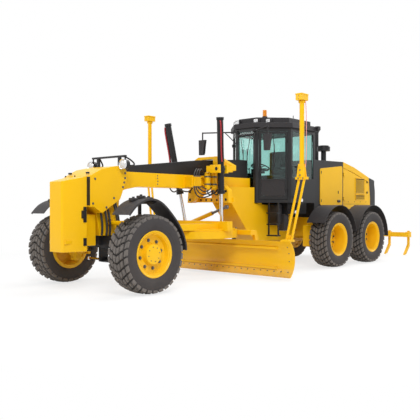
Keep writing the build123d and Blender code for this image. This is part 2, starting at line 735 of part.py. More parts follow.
def tie_rod():
    """Rod through the steering cylinder under the axle, with an eye near each steering arm."""
    rod = cross_bar(back(TIE_ROD_BACK), TIE_ROD_Z, -TIE_ROD_EYE_Y, TIE_ROD_EYE_Y, TIE_ROD_R, SMOOTH)
    for sign in (1, -1):
        rod += upright(back(TIE_ROD_BACK), sign * TIE_ROD_EYE_Y, TIE_ROD_Z - TIE_ROD_R - 4,
                       TIE_ROD_Z + TIE_ROD_R + 4, 32)
    return rod


FENDER_OUTLINE = [(-520, 1200), (-370, 1370), (-120, 1455), (180, 1350), (460, 1080), (625, 820),
                  (665, 620)]


def front_fender(sign):
    """Bent sheet over the front wheel, on a post from the knuckle."""
    inner = [(b * 0.985, TYRE_R + (z - TYRE_R) * 0.985) for b, z in FENDER_OUTLINE]
    sheet = side_prism(FENDER_OUTLINE + list(reversed(inner)), sign * FRONT_FENDER_IN_Y, sign * FENDER_OUT_Y)
    post = box(back(110), back(60 + SEAT_GAP), sign * 800, sign * 835, 640, 1385)
    cap = box(back(125), back(85), sign * 800, sign * 1150, 1350, 1385)
    return join(sheet, cap, post)


# Blade linkage
def drawbar_ball():
    return faceted_ball((back(BALL_BACK), 0, BALL_Z), BALL_R)


def drawbar():
    """A-frame from the ball socket back to the head, with the plate that the circle turns under."""
    shape = box(back(345), back(440), -95, 95, 770, 950)
    shape -= ball_seat(345, 374)
    for sign in (1, -1):
        outline = [(back(400), sign * -5), (back(400), sign * 95), (back(HEAD_BACK), sign * 620),
                   (back(HEAD_BACK), sign * 480), (back(640), sign * -5)]
        shape += plan_prism(outline, 880, 1000)
    shape += box(back(HEAD_BACK - 20), back(HEAD_BACK + 120), -840, 840, PLATE_LOW_Z, 1040)
    plate = plan_prism([(back(HEAD_BACK), -640), (back(HEAD_BACK), 600), (back(2750), 560),
                        (back(2750), -745), (back(2895), -745), (back(2895), -860), (back(2740), -860),
                        (back(2600), -640)], PLATE_LOW_Z, PLATE_HIGH_Z)
    plate -= box(back(HEAD_BACK + 150), back(2680), -260, 260, PLATE_LOW_Z - 5, PLATE_HIGH_Z + 5)
    shape += plate
    ring = upright(back(CIRCLE_BACK), 0, PLATE_LOW_Z, PLATE_HIGH_Z, CIRCLE_R - 30, CIRCLE_SIDES)
    ring -= upright(back(CIRCLE_BACK), 0, PLATE_LOW_Z - 5, PLATE_HIGH_Z + 5, CIRCLE_R - 190, CIRCLE_SIDES)
    ring -= box(back(2750), back(3100), -800, 800, PLATE_LOW_Z - 5, PLATE_HIGH_Z + 5)
    shape += ring
    ear = point(SHIFT_EAR)
    for x0, x1 in ((-80, -55), (55, 80)):
        shape += box(ear.X + x0, ear.X + x1, ear.Y - 50, ear.Y + 50, PLATE_HIGH_Z - 5, ear.Z + SHIFT_EYE_R)
    return shape + bar((ear.X - 80, ear.Y, ear.Z), (ear.X + 80, ear.Y, ear.Z), SHIFT_EAR_R, SMOOTH)


def circle():
    """Ring under the drawbar, a cross beam behind it, and an arm down to each tip pin."""
    ring = upright(back(CIRCLE_BACK), 0, CIRCLE_LOW_Z, CIRCLE_TOP_Z, CIRCLE_R, CIRCLE_SIDES)
    ring -= upright(back(CIRCLE_BACK), 0, CIRCLE_LOW_Z - 5, CIRCLE_TOP_Z + 5, CIRCLE_R - 110, CIRCLE_SIDES)
    ring += box(back(2780), back(2920), -ARM_OUT_Y, ARM_OUT_Y, 775, CIRCLE_TOP_Z)
    for sign in (1, -1):
        ring += side_prism([(2780, 775), (2780, CIRCLE_TOP_Z), (2960, CIRCLE_TOP_Z), (3110, 420),
                            (3110, 200), (2985, 200), (2985, 420), (2900, 775)],
                           sign * ARM_IN_Y, sign * ARM_OUT_Y)
        ring -= cross_bar(back(TIP_PIN_BACK), TIP_PIN_Z, sign * (ARM_IN_Y - 5), sign * (ARM_OUT_Y + 5),
                          TIP_PIN_R + PIN_GAP, SMOOTH)
    return ring


def blade_carrier():
    """Brackets that the moldboard slides in, joined by the side-shift cylinder's barrel."""
    shape = cross_bar(back(SLIDE_BACK), SLIDE_Z, -CARRIER_Y, CARRIER_Y, 42)
    shape += cross_bar(back(3010), 600, -CARRIER_Y, CARRIER_Y, 32)
    for sign in (1, -1):
        shape += side_prism([(2962, 150), (2962, 620), (3040, 640), (3100, 300), (3090, 190), (3030, 150)],
                            sign * 740, sign * CARRIER_Y)
        shape += box(back(SLIDE_BACK - 35), back(3000), sign * 740, sign * CARRIER_Y, 330, 430)
        for z in RAIL_ROWS:
            shape += box(back(2895), back(2970), sign * 740, sign * CARRIER_Y, z - 30, z + 30)
            for z0, z1 in ((z - 52, z - 26), (z + 26, z + 52)):
                shape += box(back(2830), back(2970), sign * 740, sign * CARRIER_Y, z0, z1)
        shape += cross_bar(back(TIP_PIN_BACK), TIP_PIN_Z, sign * (CARRIER_Y - 10), sign * (ARM_OUT_Y + 5),
                           TIP_PIN_R, SMOOTH)
    return shape - cross_bar(back(SLIDE_BACK), SLIDE_Z, -CARRIER_Y - 1, CARRIER_Y - 30,
                             SLIDE_ROD_R + PIN_GAP, SMOOTH)


def blade_section():
    """Arc centre of the moldboard's section, from its two edges and its radius."""
    half = (BLADE_HIGH_Z - BLADE_LOW_Z) / 2
    sag = math.sqrt(BLADE_ARC_R ** 2 - half ** 2)
    return BLADE_BACK - sag, BLADE_LOW_Z + half


def moldboard():
    arc_back, arc_z = blade_section()
    disc = cross_bar(back(arc_back), arc_z, -BLADE_HALF_W, BLADE_HALF_W, BLADE_ARC_R + BLADE_T,
                     BLADE_SIDES)
    disc -= cross_bar(back(arc_back), arc_z, -BLADE_HALF_W - 1, BLADE_HALF_W + 1, BLADE_ARC_R,
                      BLADE_SIDES)
    keep = box(back(BLADE_BACK - 12), back(arc_back + 600), -BLADE_HALF_W, BLADE_HALF_W,
               BLADE_LOW_Z, BLADE_HIGH_Z)
    board = disc & keep
    rail_y = BLADE_HALF_W - RAIL_END_IN
    for z in RAIL_ROWS:
        board += box(back(2740), back(2885), -rail_y, rail_y, z - 20, z + 20)
    block_y = BLADE_HALF_W - SLIDE_BLOCK_IN
    board += cross_bar(back(SLIDE_BACK), SLIDE_Z, -block_y, 40, SLIDE_ROD_R, SMOOTH)
    board += box(back(2760), back(SLIDE_BACK + 45), -block_y - 25, 25 - block_y, SLIDE_Z - 50, SLIDE_Z + 50)
    return board


def survey_masts():
    """A post at each end of the blade, on two struts, with a closed head on top."""
    masts = []
    for sign in (1, -1):
        foot_x, top_x = back(2760), back(MAST_BACK)
        foot = box(foot_x - 60, foot_x + 100, sign * 1665, sign * (BLADE_HALF_W - 5),
                   BLADE_HIGH_Z + SEAT_GAP, 730)
        struts = []
        for offset_y in (-55, 55):
            start = (foot_x, sign * (MAST_FOOT_Y + offset_y), 720)
            end = (top_x, sign * (MAST_Y + offset_y), 1800)
            struts.append(bar(start, end, 23))
        cross = box(top_x - 45, top_x + 45, sign * (MAST_Y - 110), sign * (MAST_Y + 110), 1785, 1830)
        sleeve = upright(top_x, sign * MAST_Y, 1825, 2020, 60)
        post = upright(top_x, sign * MAST_Y, 2000, 3180, 42)
        head = box(top_x - 100, top_x + 100, sign * (MAST_Y - 65), sign * (MAST_Y + 65), 3170, MAST_TOP_Z)
        mast = join(foot, *struts)
        mast = join(mast, cross, sleeve, post, head)
        masts.append(mast)
    return Compound(children=masts)


# Cylinders
def lift_line(sign):
    top, eye = point(LIFT_TOP, sign), point(LIFT_EYE, sign)
    return top, eye, (eye - top).normalized()


def lift_barrel(sign):
    top, eye, axis = lift_line(sign)
    end = top + axis * LIFT_BARREL_LEN
    barrel = bar(top, end, LIFT_BARREL_R)
    barrel += bar(end - axis * 60, end, LIFT_BARREL_R + 14)
    barrel += bar(top, top + axis * 50, LIFT_BARREL_R + 10)
    pin = point(trunnion(), sign)
    barrel += bar(pin - axis * 55, pin + axis * 55, LIFT_BARREL_R + 16)
    for reach in (126, -126):
        barrel += bar(pin, pin + Vector(reach, 0, 0), TRUNNION_R, SMOOTH)
    barrel -= bar(top + axis * 60, end + axis * 5, LIFT_ROD_R + PIN_GAP, SMOOTH)
    return barrel


def lift_rod(sign):
    top, eye, axis = lift_line(sign)
    rod = bar(top + axis * LIFT_ROD_TOP, eye - axis * 30, LIFT_ROD_R, SMOOTH)
    return rod + faceted_ball(eye, LIFT_KNOB_R)


def shift_line():
    ear, pin = point(SHIFT_EAR), point(SHIFT_PIN)
    return ear, pin, (pin - ear).normalized()


def centre_shift_barrel():
    ear, pin, axis = shift_line()
    reach = (pin - ear).length - SHIFT_STROKE - 60
    barrel = bar(ear + axis * (SHIFT_EYE_R - 12), ear + axis * reach, SHIFT_BARREL_R)
    barrel += bar((ear.X - 50, ear.Y, ear.Z), (ear.X + 50, ear.Y, ear.Z), SHIFT_EYE_R)
    barrel -= bar(ear + axis * 90, ear + axis * 1200, SHIFT_ROD_R + PIN_GAP, SMOOTH)
    return barrel - bar((ear.X - 60, ear.Y, ear.Z), (ear.X + 60, ear.Y, ear.Z), SHIFT_EAR_R + PIN_GAP,
                        SMOOTH)


def centre_shift_rod():
    ear, pin, axis = shift_line()
    rod = bar(ear + axis * (SHIFT_STROKE + 100), pin - axis * 10, SHIFT_ROD_R, SMOOTH)
    return rod + bar((pin.X - 25, pin.Y, pin.Z), (pin.X + 25, pin.Y, pin.Z), SHIFT_EYE_R)


# Rear frame
def rear_frame():
    frame = None
    for sign in (1, -1):
        rail = box(back(5480), back(FRAME_TAIL_BACK), sign * (RAIL_Y - 70), sign * (RAIL_Y + 70), 860, 1060)
        frame = rail if frame is None else frame + rail
    frame += box(back(5480), back(5620), -370, 370, 640, HOOD_LOW_Z - SEAT_GAP)
    frame += box(back(FRAME_TAIL_BACK), back(FRAME_TAIL_BACK - 60), -450, 450, 560, 1290)
    hub_y = CASE_IN_Y - SEAT_GAP
    frame += box(back(WHEELBASE + 170), back(WHEELBASE - 170), -hub_y, hub_y, 560, 900)
    for z0, z1 in ((735, 795), (985, 1045)):
        lug = box(back(HITCH_BACK), back(5500), -88, 88, z0, z1) + upright(back(HITCH_BACK), 0, z0, z1, 90)
        frame += lug - upright(back(HITCH_BACK), 0, z0 - 1, z1 + 1, HITCH_PIN_R + PIN_GAP, SMOOTH)
    for sign in (1, -1):
        frame += box(back(RIPPER_PIVOT_BACK - 60), back(FRAME_TAIL_BACK), sign * 420, sign * 450, 560, 900)
        frame += cross_bar(back(RIPPER_PIVOT_BACK), RIPPER_PIVOT_Z, sign * 440, sign * 510, RIPPER_PIN_R,
                           SMOOTH)
    return frame


HOOD_OUTLINE = [(HOOD_FRONT_BACK, HOOD_LOW_Z), (HOOD_FRONT_BACK, 2360), (6850, 2380), (7400, 2270),
                (8150, 2050), (HOOD_REAR_BACK, 1500), (HOOD_REAR_BACK, HOOD_LOW_Z)]


def door_outline(gap):
    top_gap = 0 if gap == 0 else ENGINE_DOOR_TOP_GAP
    front, rear, low = DOOR_FRONT_BACK + gap, DOOR_REAR_BACK - gap, DOOR_LOW_Z + gap
    top = [(front, 2240), (7400, 2130), (rear, 1930)]
    return [(front, low)] + [(b, z - top_gap) for b, z in top] + [(rear, low)]


def hood():
    outer = side_prism(HOOD_OUTLINE, -HOOD_HALF_W, HOOD_HALF_W)
    inner_outline = [(HOOD_FRONT_BACK + HOOD_WALL, HOOD_LOW_Z - 10), (HOOD_FRONT_BACK + HOOD_WALL, 2320),
                     (6840, 2340), (7390, 2230), (8105, 2015), (HOOD_REAR_BACK - HOOD_WALL, 1500),
                     (HOOD_REAR_BACK - HOOD_WALL, HOOD_LOW_Z - 10)]
    inner = side_prism(inner_outline, -HOOD_HALF_W + HOOD_WALL, HOOD_HALF_W - HOOD_WALL)
    shell = outer - inner
    shell -= side_prism(door_outline(0), -HOOD_HALF_W - 5, HOOD_HALF_W + 5)
    for sign in (1, -1):
        shell = fixed_hinge(shell, engine_hinge(sign), ENGINE_HINGE_ROWS)
    return shell


def engine_door(sign):
    leaf = side_prism(door_outline(DOOR_GAP), sign * (HOOD_HALF_W - ENGINE_DOOR_T), sign * HOOD_HALF_W)
    x0, x1 = back(7640), back(7900)
    for low, count in LOUVRE_ROWS:
        for step in range(count):
            z = low + 30 * step
            leaf -= box(x0, x1, sign * (HOOD_HALF_W - ENGINE_DOOR_T - 2), sign * (HOOD_HALF_W + 2),
                        z, z + 14)
    return door_half_hinge(leaf, engine_hinge(sign), ENGINE_HINGE_ROWS)


def engine_block():
    return box(back(5900), back(8000), -330, 330, 1060 + SEAT_GAP, 1900)


def radiator_guard():
    return side_prism([(HOOD_REAR_BACK + SEAT_GAP, 1300), (HOOD_REAR_BACK + SEAT_GAP, 1990), (8260, 2060),
                       (8560, 2000), (FRAME_TAIL_BACK, 1700), (FRAME_TAIL_BACK, 1300)], -450, 450)


def hood_top_z(distance):
    """Height of the hood's upper edge at a distance behind the front axle."""
    for (b0, z0), (b1, z1) in zip(HOOD_OUTLINE, HOOD_OUTLINE[1:]):
        if b0 < b1 and b0 <= distance <= b1:
            return z0 + (z1 - z0) * (distance - b0) / (b1 - b0)
    return HOOD_LOW_Z


def stack_and_precleaner():
    distance, y, radius = STACK
    stack = upright(back(distance), y, hood_top_z(distance + radius) + SEAT_GAP, 3150, radius)
    stack += bar((back(distance), y, 3135), (back(distance + 90), y, 3235), radius)
    distance, y, radius = CLEANER
    cleaner = upright(back(distance), y, hood_top_z(distance + radius) + SEAT_GAP, 2640, radius)
    cleaner += upright(back(distance), y, 2630, 2735, 155, DRUM_SIDES)
    cleaner += upright(back(distance), y, 2730, 2760, 125, DRUM_SIDES)
    return Compound(children=[stack, cleaner])


def tandem_cases():
    cases = []
    for sign in (1, -1):
        case = box(back(REAR1_BACK - CASE_REACH), back(REAR2_BACK + CASE_REACH), sign * CASE_IN_Y,
                   sign * CASE_OUT_Y, CASE_LOW_Z, CASE_HIGH_Z)
        for distance in (REAR1_BACK, REAR2_BACK):
            case += cross_bar(back(distance), TYRE_R, sign * (CASE_OUT_Y - 10),
                              sign * (HALF_TRACK + REAR_DISC_Y - SEAT_GAP), 120)
        cases.append(case)
    return Compound(children=cases)


def fender_arc(distance, front_angle, rear_angle, sign):
    """Curved sheet round a rear wheel, angles from straight ahead over the top."""
    place = (back(distance), TYRE_R)
    outer = cross_bar(*place, sign * FENDER_IN_Y, sign * FENDER_OUT_Y, FENDER_R, FENDER_SIDES)
    inner = cross_bar(*place, sign * (FENDER_IN_Y - 5), sign * (FENDER_OUT_Y + 5), FENDER_R - FENDER_T,
                      FENDER_SIDES)
    reach = 2 * FENDER_R
    rays = [front_angle, (front_angle + rear_angle) / 2, rear_angle]
    wedge = [(distance, TYRE_R)] + [(distance - reach * math.cos(math.radians(a)),
                                     TYRE_R + reach * math.sin(math.radians(a))) for a in rays]
    keep = side_prism(wedge, sign * (FENDER_IN_Y - 5), sign * (FENDER_OUT_Y + 5))
    return (outer - inner) & keep


def rear_fenders():
    pieces = []
    for sign in (1, -1):
        for distance, front_angle, rear_angle in ((REAR1_BACK, 30, 168), (REAR2_BACK, 14, 180)):
            sheet = fender_arc(distance, front_angle, rear_angle, sign)
            x = back(distance)
            stay = box(x - 60, x + 60, sign * 810, sign * CASE_OUT_Y, CASE_HIGH_Z + SEAT_GAP,
                       TYRE_R + FENDER_R)
            shelf = box(x - 60, x + 60, sign * 810, sign * 900, TYRE_R + FENDER_R - 14, TYRE_R + FENDER_R)
            pieces.append(sheet + stay + shelf)
    return Compound(children=pieces)


# Ripper
def ripper_arms():
    shape = None
    for sign in (1, -1):
        near, bend, far = RIPPER_PIVOT_BACK - 55, RIPPER_PIVOT_BACK + 60, RIPPER_EYE_BACK + 40
        outline = [(near, RIPPER_PIVOT_Z - 45), (near, RIPPER_PIVOT_Z + 50), (bend, RIPPER_PIVOT_Z + 60),
                   (far, RIPPER_BEAM_Z + 50), (far, RIPPER_BEAM_Z - 45), (bend, RIPPER_PIVOT_Z - 60)]
        arm = side_prism(outline, sign * 460, sign * 500)
        shape = arm if shape is None else shape + arm
    shape += cross_bar(back(8850), 584, -470, 470, 35)
    hole_r = RIPPER_PIN_R + PIN_GAP
    for sign in (1, -1):
        for distance, z in ((RIPPER_PIVOT_BACK, RIPPER_PIVOT_Z), (RIPPER_EYE_BACK, RIPPER_BEAM_Z)):
            shape -= cross_bar(back(distance), z, sign * 400, sign * 520, hole_r, SMOOTH)
    return shape


def ripper_beam():
    x = back(RIPPER_BEAM_BACK)
    beam = box(x - 60, x + 60, -RIPPER_HALF_W, RIPPER_HALF_W, 500, 620)
    for sign in (1, -1):
        beam += box(x + 50, back(RIPPER_EYE_BACK - 45), sign * 510, sign * 545, 510, 610)
        beam += cross_bar(back(RIPPER_EYE_BACK), RIPPER_BEAM_Z, sign * 455, sign * 530, RIPPER_PIN_R, SMOOTH)
    for step in range(-2, 3):
        y = step * SHANK_PITCH
        shank = side_prism([(RIPPER_BEAM_BACK + 140, 660), (RIPPER_BEAM_BACK + 90, 660),
                            (RIPPER_BEAM_BACK + 80, 300), (RIPPER_BEAM_BACK - 170, SHANK_TIP_Z),
                            (RIPPER_BEAM_BACK - 60, SHANK_TIP_Z + 20), (RIPPER_BEAM_BACK + 145, 260)],
                           y - 25, y + 25)
        beam += shank
        beam += box(x - 148, x - 55, y - 60, y + 60, 490, 630)
    return beam


def main():
    make_wheels()
    save("front_frame", front_frame())
    save("nose_housing", nose_housing())
    save("beam_cover", beam_cover())
    save("front_axle", front_axle())
    save("lift_saddle", lift_saddle())
    save("cab_shell", cab_shell())
    save("cab_roof", cab_roof())
    save("cab_windows", cab_windows())
    save("operator_seat", operator_seat())
    save("steering_console", steering_console())
    save("head_lamps", head_lamps())
    save("mirrors", mirrors())
    for side, sign in SIDES:
        save(f"cab_door_{side}", cab_door(side, sign))
        save(f"lean_bracket_{side}", lean_bracket(sign))
        save(f"knuckle_{side}", knuckle(sign))
        save(f"front_fender_{side}", front_fender(sign))
        save(f"lift_barrel_{side}", lift_barrel(sign))
        save(f"lift_rod_{side}", lift_rod(sign))
        save(f"engine_door_{side}", engine_door(sign))
    save("lean_bar", lean_bar())
    save("tie_rod", tie_rod())
    save("drawbar_ball", drawbar_ball())
    save("drawbar", drawbar())
    save("circle", circle())
    save("blade_carrier", blade_carrier())
    save("moldboard", moldboard())
    save("survey_masts", survey_masts())
    save("centre_shift_barrel", centre_shift_barrel())
    save("centre_shift_rod", centre_shift_rod())
    save("rear_frame", rear_frame())
    save("hood", hood())
    save("engine_block", engine_block())
    save("radiator_guard", radiator_guard())
    save("stack_and_precleaner", stack_and_precleaner())
    save("tandem_cases", tandem_cases())
    save("rear_fenders", rear_fenders())
    save("ripper_arms", ripper_arms())
    save("ripper_beam", ripper_beam())


main()
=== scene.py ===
# %% [markdown]
# A motor grader in one frame
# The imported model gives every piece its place: metres, X forward, Y left, Z up, origin on the
# ground at mid-length. This lesson dresses it. Plain CAD solids get rounded copies, the wheels and
# trim are modelled anew, and every surface gets a finish made of nodes.

# %% Load the frame
import json
import math

import bmesh
import bpy
from mathutils import Matrix, Vector


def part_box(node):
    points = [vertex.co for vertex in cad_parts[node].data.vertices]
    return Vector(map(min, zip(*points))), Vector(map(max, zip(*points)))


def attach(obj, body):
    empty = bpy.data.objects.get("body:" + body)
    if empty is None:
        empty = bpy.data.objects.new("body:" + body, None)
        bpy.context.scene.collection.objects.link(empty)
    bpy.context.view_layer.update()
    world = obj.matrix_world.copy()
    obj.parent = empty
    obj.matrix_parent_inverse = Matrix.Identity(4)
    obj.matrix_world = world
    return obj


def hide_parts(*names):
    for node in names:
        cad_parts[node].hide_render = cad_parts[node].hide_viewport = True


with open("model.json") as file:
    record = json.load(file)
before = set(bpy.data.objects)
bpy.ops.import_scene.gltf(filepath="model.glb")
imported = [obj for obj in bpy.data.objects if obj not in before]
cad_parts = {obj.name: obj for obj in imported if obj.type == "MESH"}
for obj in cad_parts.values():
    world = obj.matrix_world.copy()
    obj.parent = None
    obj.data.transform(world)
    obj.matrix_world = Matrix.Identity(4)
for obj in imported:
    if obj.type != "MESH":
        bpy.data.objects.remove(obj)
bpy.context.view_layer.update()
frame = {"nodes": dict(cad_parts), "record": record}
front_low, front_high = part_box("rim_front_left")
FRONT_X = (front_low.x + front_high.x) / 2
AXLE_Z = (front_low.z + front_high.z) / 2

# %% [markdown]
# The camera comes first
# The photographer stood in front of the machine on its left side, a little higher than the top of
# the tyres, and looked almost level. The place and the lens were worked out from known points of
# the machine, such as hubs and mast heads, so the camera is set once and never touched again.

# %% Set the camera
CAMERA_PLACE = (FRONT_X + 6.0971, 7.8695, 1.3292)
CAMERA_YAW = 0.73478
CAMERA_PITCH = -0.0075
FOCAL_PIXELS = 602.48
PHOTO_PIXELS = 420
SENSOR_MM = 36


def new_object(name, data):
    obj = bpy.data.objects.new(name, data)
    bpy.context.scene.collection.objects.link(obj)
    return obj


sight = Vector((-math.cos(CAMERA_YAW) * math.cos(CAMERA_PITCH),
                -math.sin(CAMERA_YAW) * math.cos(CAMERA_PITCH), math.sin(CAMERA_PITCH)))
camera_data = bpy.data.cameras.new("photo_camera")
camera_data.sensor_width = SENSOR_MM
camera_data.lens = FOCAL_PIXELS / PHOTO_PIXELS * SENSOR_MM
camera = new_object("photo_camera", camera_data)
camera.location = CAMERA_PLACE
camera.rotation_euler = sight.to_track_quat("-Z", "Y").to_euler()
bpy.context.scene.camera = camera
bpy.context.scene.view_settings.view_transform = "Standard"
print("lens mm", round(camera_data.lens, 2))

# %% [markdown]
# Shader effects that several finishes share
# Paint, plastic and rubber all show the same few things: a slightly uneven tone, dust that settles
# low down and on top faces, edges that rub bright, and a fine surface grain. Each effect is one
# node group with named sockets, so every material can mix them with its own values.

# %% Build the shared effect groups
DUST_COLOUR = (0.36, 0.29, 0.22, 1)
RUBBED_FROM = 0.52
PALE = (0.8, 0.8, 0.8, 1)
COLOUR, NUMBER = "NodeSocketColor", "NodeSocketFloat"
# Places of the colour sockets on a mix node.
MIX_FACTOR, MIX_FIRST, MIX_SECOND, MIX_RESULT = 0, 6, 7, 2


def feed(tree, node, values):
    """Set each input to its value, or link it where the value is another node's socket."""
    for label, value in values.items():
        if isinstance(value, bpy.types.NodeSocket):
            tree.links.new(value, node.inputs[label])
        else:
            node.inputs[label].default_value = value


def new_node(tree, kind, values, **settings):
    node = tree.nodes.new("ShaderNode" + kind)
    for name, setting in settings.items():
        setattr(node, name, setting)
    feed(tree, node, values)
    return node


def new_group(name, inputs, outputs):
    group = bpy.data.node_groups.new(name, "ShaderNodeTree")
    for label, kind, value in inputs:
        group.interface.new_socket(label, in_out="INPUT", socket_type=kind).default_value = value
    for label, kind in outputs:
        group.interface.new_socket(label, in_out="OUTPUT", socket_type=kind)
    return group, group.nodes.new("NodeGroupInput").outputs, group.nodes.new("NodeGroupOutput")


def math_node(tree, operation, first, second, clamp=False):
    node = new_node(tree, "Math", {0: first, 1: second}, operation=operation, use_clamp=clamp)
    return node.outputs["Value"]


def noise(tree, scale, detail=4.0, rough=0.6):
    place = new_node(tree, "TexCoord", {}).outputs["Object"]
    values = {"Vector": place, "Scale": scale, "Detail": detail, "Roughness": rough}
    return new_node(tree, "TexNoise", values).outputs["Fac"]


def mix_colour(tree, amount, first, second):
    values = {MIX_FACTOR: amount, MIX_FIRST: first, MIX_SECOND: second}
    return new_node(tree, "Mix", values, data_type="RGBA").outputs[MIX_RESULT]


def height_of(tree, vector):
    return new_node(tree, "SeparateXYZ", {0: vector}).outputs["Z"]


def build_tone():
    """Colour that wanders a little lighter and darker over the surface."""
    group, entry, out = new_group("uneven_tone", [
        ("Colour", COLOUR, PALE), ("Amount", NUMBER, 0.1), ("Scale", NUMBER, 3.0)], [("Colour", COLOUR)])
    patches = math_node(group, "SUBTRACT", noise(group, entry["Scale"]), 0.5)
    scale = math_node(group, "ADD", math_node(group, "MULTIPLY", patches, entry["Amount"]), 1.0)
    node = new_node(group, "VectorMath", {0: entry["Colour"]}, operation="SCALE")
    feed(group, node, {"Scale": scale})
    feed(group, out, {"Colour": node.outputs["Vector"]})
    return group


def build_dust():
    """Dry dust, thick near the ground and thin on faces that look up."""
    group, entry, out = new_group("road_dust", [
        ("Colour", COLOUR, PALE), ("Roughness", NUMBER, 0.4), ("Dust", NUMBER, 0.3),
        ("Height", NUMBER, 1.0)], [("Colour", COLOUR), ("Roughness", NUMBER)])
    height = height_of(group, new_node(group, "TexCoord", {}).outputs["Object"])
    low = math_node(group, "SUBTRACT", 1.0, math_node(group, "DIVIDE", height, entry["Height"]), clamp=True)
    up = height_of(group, new_node(group, "NewGeometry", {}).outputs["Normal"])
    top = math_node(group, "MULTIPLY", math_node(group, "SUBTRACT", up, 0.6, clamp=True), 0.5)
    cloud = math_node(group, "MULTIPLY", noise(group, 9.0, 6.0, 0.7), 1.3)
    mask = math_node(group, "MULTIPLY", math_node(group, "ADD", low, top),
                     math_node(group, "MULTIPLY", cloud, entry["Dust"]), clamp=True)
    rough = math_node(group, "ADD", entry["Roughness"], math_node(group, "MULTIPLY", mask, 0.4), clamp=True)
    feed(group, out, {"Colour": mix_colour(group, mask, entry["Colour"], DUST_COLOUR), "Roughness": rough})
    return group


def build_wear():
    """A mask along convex edges, broken up by noise, where paint or plastic is rubbed."""
    group, entry, out = new_group("edge_wear", [("Amount", NUMBER, 0.5)], [("Mask", NUMBER)])
    point = new_node(group, "NewGeometry", {}).outputs["Pointiness"]
    edge = math_node(group, "MULTIPLY", math_node(group, "SUBTRACT", point, RUBBED_FROM, clamp=True), 9.0)
    patches = math_node(group, "SUBTRACT", noise(group, 26.0, 5.0, 0.7), 0.35, clamp=True)
    broken = math_node(group, "MULTIPLY", edge, patches)
    feed(group, out, {"Mask": math_node(group, "MULTIPLY", broken, entry["Amount"], clamp=True)})
    return group


def build_grain():
    """Two scales of small bumps for a Bump node's height."""
    group, entry, out = new_group("fine_grain", [("Scale", NUMBER, 300.0)], [("Height", NUMBER)])
    fine = noise(group, entry["Scale"], 2.0)
    broad = noise(group, math_node(group, "DIVIDE", entry["Scale"], 12.0), 2.0)
    feed(group, out, {"Height": math_node(group, "ADD", fine, math_node(group, "MULTIPLY", broad, 1.5))})
    return group


tone_group, dust_group, wear_group, grain_group = build_tone(), build_dust(), build_wear(), build_grain()
print("effect groups", [group.name for group in bpy.data.node_groups])

# %% [markdown]
# One recipe for painted, moulded and rubber surfaces
# A solid finish is a base colour passed through the shared effects: tone, then wear, then dust.
# Constant values such as coat and metallic sit on the shader itself, because an export keeps them
# there. The recipe is a function, so each finish is a single row of named values.

# %% Make the solid finishes
BUMP_DISTANCE = 0.002
COAT_ROUGHNESS = 0.12


def use_group(tree, group, **values):
    return new_node(tree, "Group", values, node_tree=group).outputs


def new_material(name, view_colour):
    """A material with nodes, returned with its tree and its shader."""
    material = bpy.data.materials.new(name)
    material.use_nodes = True
    material.diffuse_color = view_colour
    return material, material.node_tree, material.node_tree.nodes["Principled BSDF"]


def add_relief(tree, shader, height, strength, distance):
    bump = new_node(tree, "Bump", {"Height": height, "Strength": strength, "Distance": distance})
    feed(tree, shader, {"Normal": bump.outputs["Normal"]})


def solid_finish(name, colour, roughness, tone=0.12, tone_scale=2.5, dust=0.25, dust_height=1.0,
                 wear=0.0, wear_colour=(0.5, 0.5, 0.5, 1), grain=300.0, bump=0.05, metallic=0.0, coat=0.0,
                 shine=0.5):
    material, tree, shader = new_material(name, (*colour, 1))
    shade = use_group(tree, tone_group, Colour=(*colour, 1), Amount=tone, Scale=tone_scale)["Colour"]
    if wear:
        mask = use_group(tree, wear_group, Amount=wear)["Mask"]
        shade = mix_colour(tree, mask, shade, wear_colour)
    film = use_group(tree, dust_group, Colour=shade, Roughness=roughness, Dust=dust, Height=dust_height)
    feed(tree, shader, {"Base Color": film["Colour"], "Roughness": film["Roughness"], "Metallic": metallic,
                        "Specular IOR Level": shine, "Coat Weight": coat, "Coat Roughness": COAT_ROUGHNESS})
    add_relief(tree, shader, use_group(tree, grain_group, Scale=grain)["Height"], bump, BUMP_DISTANCE)
    return material


YELLOW = (0.85, 0.475, 0.0008)
paint = solid_finish("yellow_enamel", YELLOW, 0.34, tone=0.1, dust=0.14, wear=0.4,
                     wear_colour=(0.9, 0.6, 0.1, 1), grain=180.0, bump=0.04, coat=0.08, shine=0.2)
black = solid_finish("black_enamel", (0.014, 0.014, 0.015), 0.4, tone=0.3, dust=0.04, wear=0.6,
                     wear_colour=(0.09, 0.09, 0.095, 1), grain=220.0, bump=0.05, coat=0.05, shine=0.22)
plastic = solid_finish("moulded_plastic", (0.021, 0.019, 0.021), 0.55, tone=0.25, dust=0.07,
                       dust_height=1.8, wear=0.5, wear_colour=(0.12, 0.115, 0.115, 1), grain=520.0,
                       bump=0.35, shine=0.25)
rubber = solid_finish("side_wall_rubber", (0.045, 0.041, 0.042), 0.72, tone=0.3, tone_scale=5.0,
                      dust=0.08, dust_height=1.3, wear=0.3, wear_colour=(0.13, 0.12, 0.115, 1),
                      grain=380.0, bump=0.3, shine=0.2)
tread_rubber = solid_finish("tread_rubber", (0.105, 0.095, 0.090), 0.8, tone=0.5, tone_scale=8.0,
                            dust=0.22, dust_height=1.3, wear=0.7, wear_colour=(0.3, 0.28, 0.26, 1),
                            grain=260.0, bump=0.45, shine=0.2)
# Painted shade: the groove floor is the same rubber as the tyre, coloured near-black for the shade between
# the tread blocks.
painted_groove_shade = solid_finish("painted_groove_shade", (0.016, 0.015, 0.015), 0.9, dust=0.08, bump=0.3)
hose_rubber = solid_finish("hose_rubber", (0.02, 0.02, 0.02), 0.5, dust=0.08, grain=700.0, bump=0.3)
red_sleeve = solid_finish("red_hose_sleeve", (0.32, 0.012, 0.02), 0.5, dust=0.05, grain=700.0, bump=0.3)
cable_sheath = solid_finish("pink_cable_sheath", (0.72, 0.3, 0.3), 0.5, dust=0.03, grain=600.0, bump=0.1)
